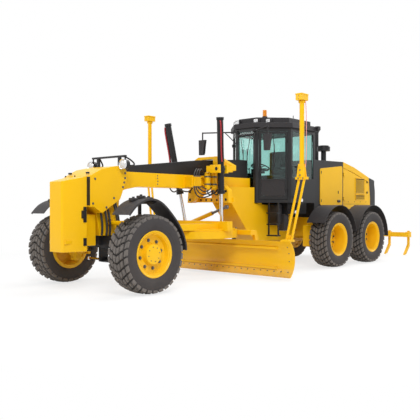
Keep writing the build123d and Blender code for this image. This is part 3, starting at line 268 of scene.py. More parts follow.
chrome = solid_finish("polished_rod", (0.72, 0.72, 0.74), 0.12, tone=0.05, dust=0.05, grain=900.0,
                      bump=0.02, metallic=1.0)
steel = solid_finish("dark_bolt_steel", (0.13, 0.125, 0.12), 0.42, tone=0.4, dust=0.1, grain=700.0,
                     bump=0.2, metallic=0.7)
blade_steel = solid_finish("cutting_edge_steel", (0.80, 0.43, 0.002), 0.38, tone=0.3, tone_scale=6.0,
                           dust=0.2, dust_height=0.2, wear=1.0, wear_colour=(0.45, 0.42, 0.38, 1),
                           grain=160.0, bump=0.2, coat=0.05, shine=0.3)
cast_iron = solid_finish("cast_engine_iron", (0.11, 0.105, 0.1), 0.65, tone=0.4, dust=0.3,
                         dust_height=2.5, grain=220.0, bump=0.7, metallic=0.3)
# A near-black finish for painted shade, where only the dark inside of holes and openings is drawn.
shadow_gap = solid_finish("painted_shadow_gap", (0.008, 0.008, 0.009), 0.8, dust=0.0, bump=0.1)
print("finishes", len(bpy.data.materials))

# %% [markdown]
# Glass, lenses and seat cloth
# Tinted cab glass is thin and slightly green, so it lets the dark inside show and still reflects
# the pale studio. Lenses are clear or amber over a bright base. The seat is woven cloth: two
# crossed wave patterns give threads, on the cushion's own object coordinates.

# %% Make glass, lenses and cloth
THREAD_SCALE = 160.0
GLASS_IOR = 1.45


def glass_finish(name, colour, roughness, transmission):
    material, tree, shader = new_material(name, (*colour, 0.4))
    smear = math_node(tree, "ADD", math_node(tree, "MULTIPLY", noise(tree, 7.0), 0.06), roughness)
    base = use_group(tree, tone_group, Colour=(*colour, 1), Amount=0.08, Scale=1.5)["Colour"]
    feed(tree, shader, {"Roughness": smear, "Base Color": base, "Transmission Weight": transmission,
                        "IOR": GLASS_IOR})
    return material


def cloth_finish():
    material, tree, shader = new_material("woven_seat_cloth", (0.03, 0.03, 0.035, 1))
    place = new_node(tree, "TexCoord", {}).outputs["Object"]
    threads = [new_node(tree, "TexWave", {"Vector": place, "Scale": THREAD_SCALE, "Distortion": 0.6},
                        bands_direction=way).outputs["Fac"] for way in ("X", "Z")]
    weave = math_node(tree, "MAXIMUM", *threads)
    shade = mix_colour(tree, weave, (0.012, 0.012, 0.013, 1), (0.05, 0.05, 0.055, 1))
    feed(tree, shader, {"Base Color": shade, "Roughness": 0.85, "Sheen Weight": 0.3})
    add_relief(tree, shader, weave, 0.5, 0.001)
    return material


glass = glass_finish("tinted_cab_glass", (0.5, 0.74, 0.7), 0.01, 1.0)
lens = glass_finish("clear_lamp_lens", (0.95, 0.96, 0.97), 0.05, 0.35)
mirror_face = solid_finish("mirror_face", (0.55, 0.57, 0.6), 0.06, tone=0.05, dust=0.05, grain=500.0,
                           bump=0.01, metallic=1.0)
amber = glass_finish("amber_beacon_lens", (0.88, 0.29, 0.002), 0.12, 0.15)
red_lens = glass_finish("red_lamp_lens", (0.6, 0.02, 0.02), 0.1, 0.15)
white_marker = solid_finish("white_marker_lamp", (0.9, 0.9, 0.9), 0.2, tone=0.05, dust=0.05, coat=0.5)
cloth = cloth_finish()
# Each finish is listed under one slot of the part, named here once.
FINISHES_OF_SLOT = {
    "yellow_paint": (paint, blade_steel, cable_sheath), "chrome_rod": (chrome, mirror_face),
    "black_paint": (black, plastic, steel, hose_rubber, red_sleeve, shadow_gap),
    "tinted_glass": (lens, white_marker, red_lens), "cast_engine": (cast_iron,),
    "seat_fabric": (cloth,), "tyre_rubber": (rubber,),
}
SLOT_OF = {finish.name: slot for slot, finishes in FINISHES_OF_SLOT.items() for finish in finishes}
print("all finishes", len(bpy.data.materials))

# %% [markdown]
# Floor, background and lamps
# The photograph is a cut-out on white with a soft shadow under the tyres. The floor is pale and
# lit like the machine, and it fades to plain white further out for every ray that looks at it, so
# no horizon shows. Four large soft lamps and a pale sky give an even studio light.

# %% Build the stage
FLOOR_HALF = 60.0
FLOOR_NEAR = 5.5
FLOOR_FADE = 3.0
FLOOR_WHITE = 0.72
SKY_LIGHT = 0.42


def seen_ray(tree):
    """One for the rays of the camera, of gloss and of glass."""
    light = new_node(tree, "LightPath", {}).outputs
    seen = math_node(tree, "MAXIMUM", light["Is Camera Ray"], light["Is Glossy Ray"])
    return math_node(tree, "MAXIMUM", seen, light["Is Transmission Ray"])


def floor_material():
    """A lit floor, mixed with plain white for what the camera, gloss and glass see."""
    material, tree, shader = new_material("studio_floor", PALE)
    feed(tree, shader, {"Base Color": (0.86, 0.86, 0.86, 1), "Roughness": 0.9})
    place = new_node(tree, "TexCoord", {}).outputs["Object"]
    far = new_node(tree, "VectorMath", {0: place}, operation="LENGTH").outputs["Value"]
    fade = math_node(tree, "DIVIDE", math_node(tree, "SUBTRACT", far, FLOOR_NEAR), FLOOR_FADE, clamp=True)
    white = math_node(tree, "ADD", math_node(tree, "MULTIPLY", fade, 1 - FLOOR_WHITE), FLOOR_WHITE)
    glow = new_node(tree, "Emission", {"Color": (1, 1, 1, 1), "Strength": 1.0}).outputs["Emission"]
    mix = new_node(tree, "MixShader", {"Fac": math_node(tree, "MULTIPLY", seen_ray(tree), white),
                                       1: shader.outputs["BSDF"], 2: glow})
    feed(tree, tree.nodes["Material Output"], {"Surface": mix.outputs["Shader"]})
    return material


def sky():
    world = bpy.data.worlds.new("studio_sky")
    bpy.context.scene.world = world
    world.use_nodes = True
    tree = world.node_tree
    strength = math_node(tree, "ADD", math_node(tree, "MULTIPLY", seen_ray(tree), 1 - SKY_LIGHT), SKY_LIGHT)
    feed(tree, tree.nodes["Background"], {"Color": (1, 1, 1, 1), "Strength": strength})


def lamp(name, place, target, size, power):
    data = bpy.data.lights.new(name, "AREA")
    data.shape = "DISK"
    data.size = size
    data.energy = power
    obj = new_object(name, data)
    obj.location = place
    obj.rotation_euler = (Vector(target) - Vector(place)).to_track_quat("-Z", "Y").to_euler()


floor_mesh = bmesh.new()
bmesh.ops.create_grid(floor_mesh, x_segments=8, y_segments=8, size=FLOOR_HALF)
floor_data = bpy.data.meshes.new("studio_floor")
floor_mesh.to_mesh(floor_data)
floor_mesh.free()
floor_data.materials.append(floor_material())
floor = new_object("studio_floor", floor_data)
sky()
lamp("key_lamp", (10, 9, 11), (0, 0, 1), 7.0, 1450)
lamp("fill_lamp", (12, -7, 7), (1, 0, 1), 8.0, 450)
lamp("top_lamp", (-2, 1, 13), (0, 0, 0), 9.0, 900)
lamp("rear_lamp", (-13, 4, 8), (-3, 0, 1), 7.0, 700)
print("stage ready, floor half width", FLOOR_HALF)

# %% [markdown]
# Helpers that shape metal
# Most fittings are blocks, rods and turned parts. Each helper starts from a bmesh create operator
# or spins a profile, and leaves the result in the same bmesh, so a whole fitting is built up and
# then finished once. The finish step mends normals, assigns finishes and hangs it on its body.

# %% Define the shaping helpers
BOTH = (1, -1)
PIECE_TRIANGLES = {}
NODE_BODY = {node: body for body, nodes in frame["record"]["behaviour"]["bodies"].items() for node in nodes}


def at(back, y, z):
    """A place given as distance behind the front axle, y and z, in metres."""
    return Vector((FRONT_X - back, y, z))


def path(sign, *points):
    """The places of a hose from rows of back, y and z; the sign picks the side."""
    return [at(back, sign * y, z) for back, y, z in points]


def bevel(bm, geom, width, segments=2, affect="EDGES"):
    return bmesh.ops.bevel(bm, geom=geom, offset=width, offset_type="OFFSET", segments=segments,
                           profile=0.5, affect=affect, clamp_overlap=True, material=-1)


def sharp_edges(bm, least=math.radians(33)):
    return [e for e in bm.edges if len(e.link_faces) == 2 and e.calc_face_angle(0) > least]


def soft_cube(bm, matrix, width, segments):
    """A unit cube placed by a matrix, with bevelled edges; returns its corners."""
    made = bmesh.ops.create_cube(bm, size=1.0, matrix=matrix)
    made = bevel(bm, list({edge for vert in made["verts"] for edge in vert.link_edges}), width, segments)
    return list({vert for face in made["faces"] for vert in face.verts})


def block(bm, low, high, round_edge=0.004, segments=2):
    corners = [sorted(pair) for pair in zip(low, high)]
    size = Vector([b - a for a, b in corners])
    centre = Vector([(a + b) / 2 for a, b in corners])
    matrix = Matrix.Translation(centre) @ Matrix.Diagonal((*size, 1))
    return soft_cube(bm, matrix, min(round_edge, min(size) * 0.45), segments)


def rod(bm, start, end, radius, sides=20, tip=None):
    start, end = Vector(start), Vector(end)
    axis = end - start
    matrix = Matrix.Translation((start + end) / 2) @ axis.to_track_quat("Z", "Y").to_matrix().to_4x4()
    made = bmesh.ops.create_cone(bm, cap_ends=True, cap_tris=False, segments=sides, radius1=radius,
                                 radius2=radius if tip is None else tip, depth=axis.length, matrix=matrix)
    return made["verts"]


def blocks(bm, rows, signs=(1,)):
    """Blocks from rows of back, y and z twice, then edge and segments, at the sides given."""
    for sign in signs:
        for back0, y0, z0, back1, y1, z1, *edge in rows:
            block(bm, at(back0, sign * y0, z0), at(back1, sign * y1, z1), *edge)


def rods(bm, rows, signs=(1,)):
    """Rods from rows of back, y and z twice, then radius and sides, at the sides given."""
    for sign in signs:
        for back0, y0, z0, back1, y1, z1, radius, sides in rows:
            rod(bm, at(back0, sign * y0, z0), at(back1, sign * y1, z1), radius, sides)


def turned(bm, profile, centre, axis=(0, 1, 0), sides=48):
    """Spin rows of (along the axis, radius) about an axis through the centre."""
    centre, axis = Vector(centre), Vector(axis).normalized()
    across = axis.orthogonal().normalized()
    points = [bm.verts.new(centre + axis * along + across * radius) for along, radius in profile]
    edges = [bm.edges.new(pair) for pair in zip(points, points[1:])]
    bmesh.ops.spin(bm, geom=points + edges, cent=centre, axis=axis, angle=2 * math.pi, steps=sides,
                   use_merge=True)


def bolt_head(bm, place, outward, radius=0.016, height=0.012):
    """A washer and a six-sided head that stands outward from a place on the surface."""
    place, outward = Vector(place), Vector(outward).normalized()
    washer = rod(bm, place - outward * 0.002, place + outward * height * 0.35, radius * 1.35, sides=14)
    head = rod(bm, place + outward * height * 0.3, place + outward * height, radius, sides=6,
               tip=radius * 0.92)
    return washer + head


def bolts(bm, rows, y, radius, height, signs=BOTH):
    """Bolt heads at rows of back and z, standing out sideways at a distance y from the middle."""
    for sign in signs:
        for back, z in rows:
            bolt_head(bm, at(back, sign * y, z), (0, sign, 0), radius, height)


def new_verts(made):
    return [v for v in made["geom"] if isinstance(v, bmesh.types.BMVert)]


def plate(bm, places, way, corner=0.0, segments=1):
    """A flat outline, its corners rounded, drawn out along a way; returns the far corners."""
    before = set(bm.faces)
    verts = [bm.verts.new(place) for place in places]
    bm.faces.new(verts)
    if corner:
        bevel(bm, verts, corner, segments, "VERTICES")
    faces = [face for face in bm.faces if face not in before]
    far = new_verts(bmesh.ops.extrude_face_region(bm, geom=faces, use_keep_orig=True))
    bmesh.ops.translate(bm, vec=way, verts=far)
    return far


def tint(verts, index):
    """Give the faces round these corners another finish; return all their geometry."""
    faces = {face for vert in verts for face in vert.link_faces}
    for face in faces:
        face.material_index = index
    edges = {edge for face in faces for edge in face.edges}
    return list(verts) + list(edges) + list(faces)


def clean(bm):
    bmesh.ops.remove_doubles(bm, verts=bm.verts, dist=1e-5)
    bmesh.ops.recalc_face_normals(bm, faces=bm.faces)


def hang(bm, name, body, finish, slot=None, replaces=(), sharp_degrees=35, tidy=True):
    """Turn a bmesh into a finished piece that rides on a body."""
    if tidy:
        clean(bm)
    finishes = finish if isinstance(finish, list) else [finish]
    slot = slot or SLOT_OF[finishes[0].name]
    mesh = bpy.data.meshes.new(name)
    bm.to_mesh(mesh)
    bm.free()
    for material in finishes:
        mesh.materials.append(material)
    mesh.polygons.foreach_set("use_smooth", [True] * len(mesh.polygons))
    mesh.set_sharp_from_angle(angle=math.radians(sharp_degrees))
    obj = new_object(name, mesh)
    obj.modifiers.new("even_shading", "WEIGHTED_NORMAL").keep_sharp = True
    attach(obj, body)
    if replaces:
        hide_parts(*replaces)
    mesh.calc_loop_triangles()
    PIECE_TRIANGLES[name] = len(mesh.loop_triangles)
    return obj


def hose(name, body, routes, radius, finish):
    """Smooth hoses held at both ends, one spline for each route of points."""
    curve = bpy.data.curves.new(name, "CURVE")
    curve.dimensions = "3D"
    curve.bevel_depth = radius
    curve.bevel_resolution = 3
    curve.use_fill_caps = True
    for route in routes:
        spline = curve.splines.new("NURBS")
        spline.points.add(len(route) - 1)
        for spot, place in zip(spline.points, route):
            spot.co = (*place, 1)
        spline.order_u = min(4, len(route))
        spline.use_endpoint_u = True
        spline.resolution_u = 8
    curve.materials.append(finish)
    obj = new_object(name, curve)
    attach(obj, body)


print("helpers ready, nodes with a body", len(NODE_BODY))

# %% [markdown]
# Rounded copies of the CAD solids
# Real plate and castings have no razor edges: a small radius catches the light and makes the shape
# readable. Each solid is copied, its loose triangles are merged, flat areas become single faces,
# and its sharp edges get a narrow bevel. The CAD solid itself stays untouched and hidden.

# %% Round the edges of the carried-over solids
def merged(node):
    """A copy with its doubles merged and its flat areas joined."""
    bm = bmesh.new()
    bm.from_mesh(frame["nodes"][node].data)
    bmesh.ops.remove_doubles(bm, verts=bm.verts, dist=2e-5)
    bmesh.ops.dissolve_limit(bm, angle_limit=math.radians(0.5), verts=bm.verts, edges=bm.edges)
    return bm


def softened(bm, width, segments=2):
    """The same bmesh with all its sharp edges bevelled."""
    edges = sharp_edges(bm)
    if edges and width:
        bevel(bm, edges, width, segments)
    return bm


def paint_faces(bm, index, test):
    for face in bm.faces:
        if test(face.calc_center_median(), face.normal):
            face.material_index = index


def dress(bm, node, finish, slot=None):
    """Let a bmesh take the place of its CAD node."""
    hang(bm, node + "_dressed", NODE_BODY[node], finish, slot, (node,), tidy=False)


# Nodes by finish and width of the rounded edge, in metres.
PLAIN_COPIES = [
    (paint, {0.003: "engine_door_left engine_door_right", 0.004: "centre_shift_barrel moldboard",
             0.006: "lean_bar circle blade_carrier survey_masts ripper_arms lean_bracket_left "
                    "lean_bracket_right knuckle_left knuckle_right",
             0.008: "drawbar", 0.01: "rear_frame ripper_beam lift_saddle", 0.012: "front_frame",
             0.025: "tandem_cases"}),
    (black, {0.003: "lift_barrel_left lift_barrel_right", 0.004: "head_lamps",
             0.008: "front_axle cab_shell", 0.012: "beam_cover", 0.02: "stack_and_precleaner",
             0.03: "radiator_guard"}),
    (plastic, {0.004: "rear_fenders", 0.01: "steering_console"}),
    (chrome, {0.0: "lift_rod_left lift_rod_right", 0.004: "tie_rod"}),
    (cast_iron, {0.03: "engine_block"}),
]
for finish, nodes_of_width in PLAIN_COPIES:
    for width, nodes in nodes_of_width.items():
        for node in nodes.split():
            dress(softened(merged(node), width), node, finish)
dress(softened(merged("centre_shift_rod"), 0.003), "centre_shift_rod", steel, "chrome_rod")
dress(merged("drawbar_ball"), "drawbar_ball", steel, "yellow_paint")
print("rounded copies", PIECE_TRIANGLES)

# %% [markdown]
# Tyres with a block tread
# A grader tyre has a bulging side wall with fine ribs and a tread of separate blocks that lie in a
# chevron, so that dirt is thrown out. The carcass is one spun profile. One row of blocks is made
# with a shear that follows the chevron, and spin with duplicates carries it round the tyre.

# %% Build the tyre
SIDE_PROFILE = [(0.150, 0.331), (0.174, 0.338), (0.186, 0.360), (0.196, 0.385), (0.199, 0.388),
                (0.205, 0.410), (0.209, 0.414), (0.2135, 0.455), (0.2135, 0.480), (0.210, 0.500),
                (0.209, 0.512), (0.201, 0.538), (0.190, 0.556), (0.174, 0.566), (0.088, 0.571)]
TREAD_ROWS = 30
TREAD_COLUMNS = (-0.181, -0.108, -0.036, 0.036, 0.108, 0.181)
BLOCK_SIZE = (0.088, 0.051, 0.046)
BLOCK_MIDDLE_R = 0.576
CHEVRON_SLOPE = 0.6


def spin_copies(bm, geom, count, axis=(0, 1, 0), cent=(0, 0, 0)):
    bmesh.ops.spin(bm, geom=geom, cent=cent, axis=axis, angle=2 * math.pi * (count - 1) / count,
                   steps=count - 1, use_duplicate=True)


def tread_block(bm, y):
    """One block of the row: sheared along the chevron and lower at the shoulder."""
    side = (y > 0) - (y < 0)
    shear = Matrix.Identity(4)
    shear[0][1] = -CHEVRON_SLOPE * side
    drop = 0.022 if abs(y) > 0.15 else 0.006 if abs(y) > 0.1 else 0.0
    lag = Matrix.Rotation(-CHEVRON_SLOPE * abs(y) / BLOCK_MIDDLE_R, 4, "Y")
    place = lag @ Matrix.Translation((0, y, BLOCK_MIDDLE_R - drop)) @ shear
    return soft_cube(bm, place @ Matrix.Diagonal((*BLOCK_SIZE, 1)), 0.006, 1)


def tyre_mesh():
    bm = bmesh.new()
    half = SIDE_PROFILE + [(0.0, 0.572)]
    section = half + [(-y, r) for y, r in reversed(SIDE_PROFILE)] + SIDE_PROFILE[:1]
    turned(bm, section, (0, 0, 0), sides=80)
    clean(bm)
    # Faces of the tread floor between the blocks take the painted groove shade.
    paint_faces(bm, 1, lambda c, n: abs(c.y) < 0.19 and math.hypot(c.x, c.z) > 0.552)
    verts = set()
    for y in TREAD_COLUMNS:
        verts.update(tread_block(bm, y))
    spin_copies(bm, tint(verts, 2), TREAD_ROWS)
    return bm


# %% [markdown]
# Rims: a shallow front disc and a deep rear dish
# The front rim shows its disc close to the outside, with eight nuts and a ring of small bolts on its
# hub cap. The rear rims turn their disc inwards, so one looks into a deep barrel with a ring of
# bolts at its end. Both are one spun profile from the axis out over the lip and back to the axis.

# %% Build the rims
LIP = [(0.120, 0.292), (0.158, 0.302), (0.162, 0.314), (0.174, 0.316), (0.176, 0.326), (0.186, 0.334),
       (0.190, 0.342), (0.188, 0.352), (0.178, 0.356), (0.162, 0.331), (-0.162, 0.331), (-0.178, 0.356),
       (-0.188, 0.352), (-0.190, 0.342), (-0.186, 0.300)]
FRONT_FACE = [(0.172, 0.0), (0.172, 0.132), (0.166, 0.148), (0.150, 0.155), (0.106, 0.160),
              (0.088, 0.168), (0.086, 0.262), (0.090, 0.270), (0.092, 0.284)]
REAR_FACE = [(-0.040, 0.0), (-0.040, 0.108), (-0.048, 0.120), (-0.088, 0.128), (-0.096, 0.140),
             (-0.096, 0.284), (-0.085, 0.295)]
NUT_PHASE = 0.2
NUT_RINGS = {"front": ((8, 0.214, 0.087, 0.020), (8, 0.110, 0.172, 0.006)),
             "rear": ((12, 0.238, -0.096, 0.017), (8, 0.098, -0.040, 0.010))}


def rim_mesh(kind):
    bm = bmesh.new()
    face, disc = (FRONT_FACE, 0.06) if kind == "front" else (REAR_FACE, -0.16)
    section = face + LIP + [(disc, 0.286), (disc, 0.0)]
    turned(bm, section, (0, 0, 0), sides=72)
    clean(bm)
    for count, radius, y, size in NUT_RINGS[kind]:
        place = (radius * math.sin(NUT_PHASE), y, radius * math.cos(NUT_PHASE))
        nut = bolt_head(bm, place, (0, 1, 0), size, size * 1.1)
        spin_copies(bm, tint(nut, 1), count)
    rod(bm, (0.0, 0.15, 0.3), (0.0, 0.186, 0.296), 0.006, sides=10)
    return bm


def moved(bm, matrix):
    bmesh.ops.transform(bm, matrix=matrix, verts=bm.verts)
    return bm


for axle in ("front", "middle", "rear"):
    for side in ("left", "right"):
        low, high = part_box(f"tyre_{axle}_{side}")
        place = Matrix.Translation((low + high) / 2)
        if side == "right":
            place = place @ Matrix.Rotation(math.pi, 4, "Z")
        body = f"wheel_{axle}_{side}"
        kind = "front" if axle == "front" else "rear"
        hang(moved(tyre_mesh(), place), f"block_tread_tyre_{axle}_{side}", body,
             [rubber, painted_groove_shade, tread_rubber], replaces=(f"tyre_{axle}_{side}",), tidy=False)
        hang(moved(rim_mesh(kind), place), f"bolted_rim_{axle}_{side}", body, [paint, steel],
             replaces=(f"rim_{axle}_{side}",), tidy=False)
print("tyre triangles", PIECE_TRIANGLES["block_tread_tyre_front_left"],
      "rim triangles", PIECE_TRIANGLES["bolted_rim_front_left"])

# %% [markdown]
# Nose, hood and other large housings
# These sheet-metal forms read by their big soft corners. Chosen edges get a wider bevel first: the
# upright corners of the nose and the long top edges of the hood. The hood is then cut across at the
# seam, so that the part ahead of it can be black and the part behind it yellow.

# %% Dress the large housings
HOOD_SEAM_BACK, HOOD_Y = 6.85, 0.5
NOSE_BEVEL, HOOD_BEVEL = 0.035, 0.055


def edge_way(edge):
    return (edge.verts[1].co - edge.verts[0].co).normalized()


def wide_bevel(bm, test, width):
    bevel(bm, [edge for edge in sharp_edges(bm, 0.5) if test(edge)], width, 4)


def upright_front_edge(edge):
    return abs(edge_way(edge).z) > 0.98 and edge.verts[0].co.x > FRONT_X + 0.8


def long_top_edge(edge):
    at_corner = all(v.co.z > 2.0 and abs(abs(v.co.y) - HOOD_Y) < 0.001 for v in edge.verts)
    return at_corner and abs(edge_way(edge).x) > 0.8 and any(abs(f.normal.z) > 0.8 for f in edge.link_faces)


nose = merged("nose_housing")
wide_bevel(nose, upright_front_edge, NOSE_BEVEL)
dress(softened(nose, 0.008), "nose_housing", paint)

hood = merged("hood")
wide_bevel(hood, long_top_edge, HOOD_BEVEL)
softened(hood, 0.006)
seam_x = FRONT_X - HOOD_SEAM_BACK
geom = list(hood.verts) + list(hood.edges) + list(hood.faces)
bmesh.ops.bisect_plane(hood, geom=geom, plane_co=(seam_x, 0, 0), plane_no=(1, 0, 0), dist=1e-5)
paint_faces(hood, 1, lambda c, n: c.x > seam_x)
dress(hood, "hood", [paint, black])
print("housings dressed, seam at x", round(seam_x, 3))

# %% [markdown]
# The cab: doors with panes, a domed roof, lamps and the amber beacon
# A grader cab is a dark frame with much glass. Each door is one CAD node with a leaf and a pane,
# and the pane is the group of joined faces that has the fewest. The roof keeps its form with wide
# soft edges, and its beacon gets an amber lens above a black foot.

# %% Dress the cab
def islands(bm):
    """Groups of faces that share corners."""
    left, groups = set(bm.faces), []
    while left:
        group, waiting = set(), [left.pop()]
        while waiting:
            face = waiting.pop()
            group.add(face)
            near = {f for vert in face.verts for f in vert.link_faces} & left
            left -= near
            waiting.extend(near)
        groups.append(group)
    return groups


def wall_matrix(start, end):
    """Axes of a cab wall: along it, out of it and up."""
    along = (end - start).normalized()
    outward = Vector((along.y, -along.x, 0))
    matrix = Matrix((along, outward, Vector((0, 0, 1)))).transposed().to_4x4()
    return Matrix.Translation(start) @ matrix


BEACON_BACK, BEACON_FOOT_Z, BEACON_R = 4.38, 3.262, 0.08
CAB_CORNERS = {"left": (at(3.72, 0.26, 0), at(4.24, 0.78, 0)),
               "right": (at(4.24, -0.78, 0), at(3.72, -0.26, 0))}
for side, (start, end) in CAB_CORNERS.items():
    node = f"cab_door_{side}"
    door = merged(node)
    for face in min(islands(door), key=len):
        face.material_index = 1
    dress(softened(door, 0.004), node, [black, glass])

    length = (end - start).length
    handle_u = 0.108 if side == "left" else length - 0.108
    wiper_u = length / 2
    bm = bmesh.new()
    for low, high, edge in (((0.122, -0.024, 1.525), (length - 0.122, -0.012, 1.86), 0.003),
                            ((0.115, -0.012, 1.845), (length - 0.115, -0.004, 1.875), 0.003),
                            ((handle_u - 0.01, -0.005, 1.95), (handle_u + 0.01, 0.03, 1.97), 0.003),
                            ((handle_u - 0.01, -0.005, 2.04), (handle_u + 0.01, 0.03, 2.06), 0.003),
                            ((wiper_u + 0.012, -0.016, 2.12), (wiper_u + 0.028, -0.006, 2.6), 0.002)):
        block(bm, low, high, edge)
    rod(bm, (handle_u, 0.025, 1.94), (handle_u, 0.025, 2.07), 0.009, sides=12)
    rod(bm, (wiper_u, -0.012, 2.76), (wiper_u + 0.03, -0.004, 2.4), 0.006, sides=8)
    hang(moved(bm, wall_matrix(start, end)), f"cab_door_trim_{side}", node, plastic)

windows = frame["nodes"]["cab_windows"]
windows.data.materials.clear()
windows.data.materials.append(glass)

roof = softened(merged("cab_roof"), 0.022, 3)
paint_faces(roof, 1, lambda c, n: c.z > BEACON_FOOT_Z
            and math.hypot(c.x - FRONT_X + BEACON_BACK, c.y) < BEACON_R)
dress(roof, "cab_roof", [plastic, amber])

bm = bmesh.new()
rods(bm, [(3.712, 0.13, 2.79, 3.705, 0.052, 2.35, 0.007, 8),
          (5.12, 0.7, 2.98, 5.2, 0.8, 3.0, 0.014, 10)], BOTH)
blocks(bm, [(3.708, 0.044, 2.0, 3.698, 0.06, 2.5, 0.003), (5.16, 0.76, 2.96, 5.26, 0.86, 3.05, 0.015)], BOTH)
blocks(bm, [(3.715, -0.2, 2.77, 3.69, 0.2, 2.81, 0.008)])
rods(bm, [(4.95, 0.35, 3.1, 4.95, 0.35, 3.3, 0.008, 8), (4.95, 0.35, 3.12, 4.95, 0.35, 3.18, 0.022, 12)])
hang(bm, "cab_fittings", "chassis", plastic)

bm = bmesh.new()
blocks(bm, [(back - 0.042, y - 0.05, 3.045, back - 0.038, y + 0.05, 3.11, 0.0015)
            for back, y in ((3.78, 0.25), (3.95, 0.43))], BOTH)
hang(bm, "roof_lamp_lenses", "chassis", lens)

bm = bmesh.new()
rods(bm, [(back, 0.775, z, back, 0.80, z, 0.035, 24) for back, z in ((4.62, 1.44), (4.41, 1.19))], BOTH)
hang(bm, "side_marker_lamps", "chassis", white_marker)

bm = bmesh.new()
blocks(bm, [(4.70, 0.60, 1.36, 4.54, 0.78, 1.40, 0.006), (4.46, 0.60, 1.15, 4.36, 0.778, 1.23, 0.01),
            (4.60, 0.755, 1.385, 4.64, 0.78, 1.48, 0.004), (4.45, 0.42, 0.80, 4.28, 0.59, 1.15, 0.03),
            (4.66, 0.345, 0.86, 4.44, 0.43, 1.15, 0.02), (4.30, 0.30, 0.95, 4.12, 0.52, 1.36, 0.025)], BOTH)
hang(bm, "under_cab_boxes", "chassis", plastic)
print("cab dressed, door length", round(length, 3))

# %% [markdown]
# Mirrors: tapered heads on bent tubes
# The mirror heads narrow towards the bottom and have soft edges, with a reflecting face that looks
# back to the driver. The carried-over heads are copied, drawn in at the foot, then bevelled.

# %% Shape the mirrors
HEAD_TOP_Z, HEAD_BACK, HEAD_Y = 2.72, 3.33, 0.86
FACE_CORNERS = [(0.075, 2.70), (-0.075, 2.70), (-0.048, 2.42), (0.048, 2.42)]
mirror_heads = merged("mirrors")
for vert in mirror_heads.verts:
    if abs(vert.co.y) > 0.765 and vert.co.z < HEAD_TOP_Z - 0.15:
        side_y = math.copysign(HEAD_Y, vert.co.y)
        vert.co.y = side_y + (vert.co.y - side_y) * 0.62
        vert.co.x += 0.028
dress(softened(mirror_heads, 0.02, 3), "mirrors", plastic)
bm = bmesh.new()
for sign in BOTH:
    plate(bm, [at(HEAD_BACK + 0.031 - (HEAD_TOP_Z - z) * 0.02, sign * HEAD_Y + dy, z)
               for dy, z in FACE_CORNERS], (-0.004, 0, 0), 0.02, 4)
hang(bm, "mirror_faces", "chassis", mirror_face)
hose("mirror_braces", "chassis", [path(sign, (3.70, 0.235, 2.62), (3.63, 0.30, 2.72), (3.55, 0.42, 2.86))
                                  for sign in BOTH], 0.010, black)
print("mirrors shaped")

# %% [markdown]
# The driver's place: seat cushions, wheel and levers
# The seat is a base with two crowned cushions. Each cushion starts as a cut-up block whose corners
# are drawn in and whose middle is raised, with two sewn channels pressed into it, and a subdivision
# surface makes it soft. The steering wheel is a spun ring on the console.

# %% Build the seat and the controls
def cushion(name, low, high, normal_axis, crown, channels):
    """A padded block, raised along one axis in the middle, with channels across its width."""
    low, high = Vector(low), Vector(high)
    size, centre = high - low, (high + low) / 2
    bm = bmesh.new()
    bmesh.ops.create_cube(bm, size=1.0)
    bmesh.ops.subdivide_edges(bm, edges=list(bm.edges), cuts=9, use_grid_fill=True)
    for vert in bm.verts:
        u, v, w = vert.co * 2
        flat = [u, v, w]
        depth = flat.pop(normal_axis)
        middle = (1 - flat[0] ** 4) * (1 - flat[1] ** 4)
        across = flat[0 if normal_axis == 2 else 1]
        channel = max(math.exp(-((across - c) / 0.1) ** 2) for c in channels)
        pinch = 1 - 0.10 * abs(depth) ** 3
        vert.co = Vector((u * pinch, v * pinch, w * pinch)) / 2
        raised = (0.5 - crown + crown * middle) * depth * (1 - 0.16 * channel * (abs(depth) > 0.9))
        vert.co[normal_axis] = raised
    bmesh.ops.transform(bm, matrix=Matrix.Translation(centre) @ Matrix.Diagonal((*size, 1)), verts=bm.verts)
    obj = hang(bm, name, "chassis", cloth)
    obj.modifiers.clear()
    soft = obj.modifiers.new("soft", "SUBSURF")
    soft.levels = soft.render_levels = 1


CROWN = 0.14
cushion("seat_cushion", at(4.84, -0.235, 1.885), at(4.40, 0.235, 1.992), 2, CROWN, (-0.4, 0.4))
cushion("seat_backrest", at(4.94, -0.23, 1.93), at(4.83, 0.23, 2.52), 0, CROWN, (-0.35, 0.35))
bm = bmesh.new()
blocks(bm, [(4.82, -0.17, 1.446, 4.46, 0.17, 1.60, 0.02), (4.78, -0.13, 1.60, 4.50, 0.13, 1.80, 0.03),
            (4.86, -0.22, 1.80, 4.42, 0.22, 1.884, 0.02)])
blocks(bm, [(4.84, 0.24, 2.10, 4.52, 0.31, 2.16, 0.02)], BOTH)
rods(bm, [(4.56, 0.275, 2.15, 4.56, 0.275, 2.27, 0.014, 12),
          (4.56, 0.275, 2.26, 4.56, 0.275, 2.31, 0.026, 16)], BOTH)
hang(bm, "seat_base_and_levers", "chassis", plastic, "seat_fabric", ("operator_seat",))

bm = bmesh.new()
blocks(bm, [(4.34, -0.72, 1.447, 4.92, -0.42, 1.96, 0.04, 3),
            (4.36, -0.66, 1.95, 4.70, -0.48, 2.05, 0.03, 3),
            (4.46, 0.42, 1.447, 4.92, 0.70, 1.80, 0.04, 3), (4.98, -0.68, 1.447, 5.13, 0.68, 1.98, 0.04, 3),
            (3.80, -0.20, 1.447, 3.94, 0.20, 1.70, 0.03, 3), (4.30, -0.60, 2.86, 5.05, 0.60, 2.925, 0.02)])
for back in (4.42, 4.50, 4.58):
    rods(bm, [(back, -0.57, 2.04, back - 0.02, -0.57, 2.14, 0.008, 8),
              (back - 0.02, -0.57, 2.13, back - 0.025, -0.57, 2.17, 0.017, 12)])
hang(bm, "cab_consoles", "chassis", plastic)

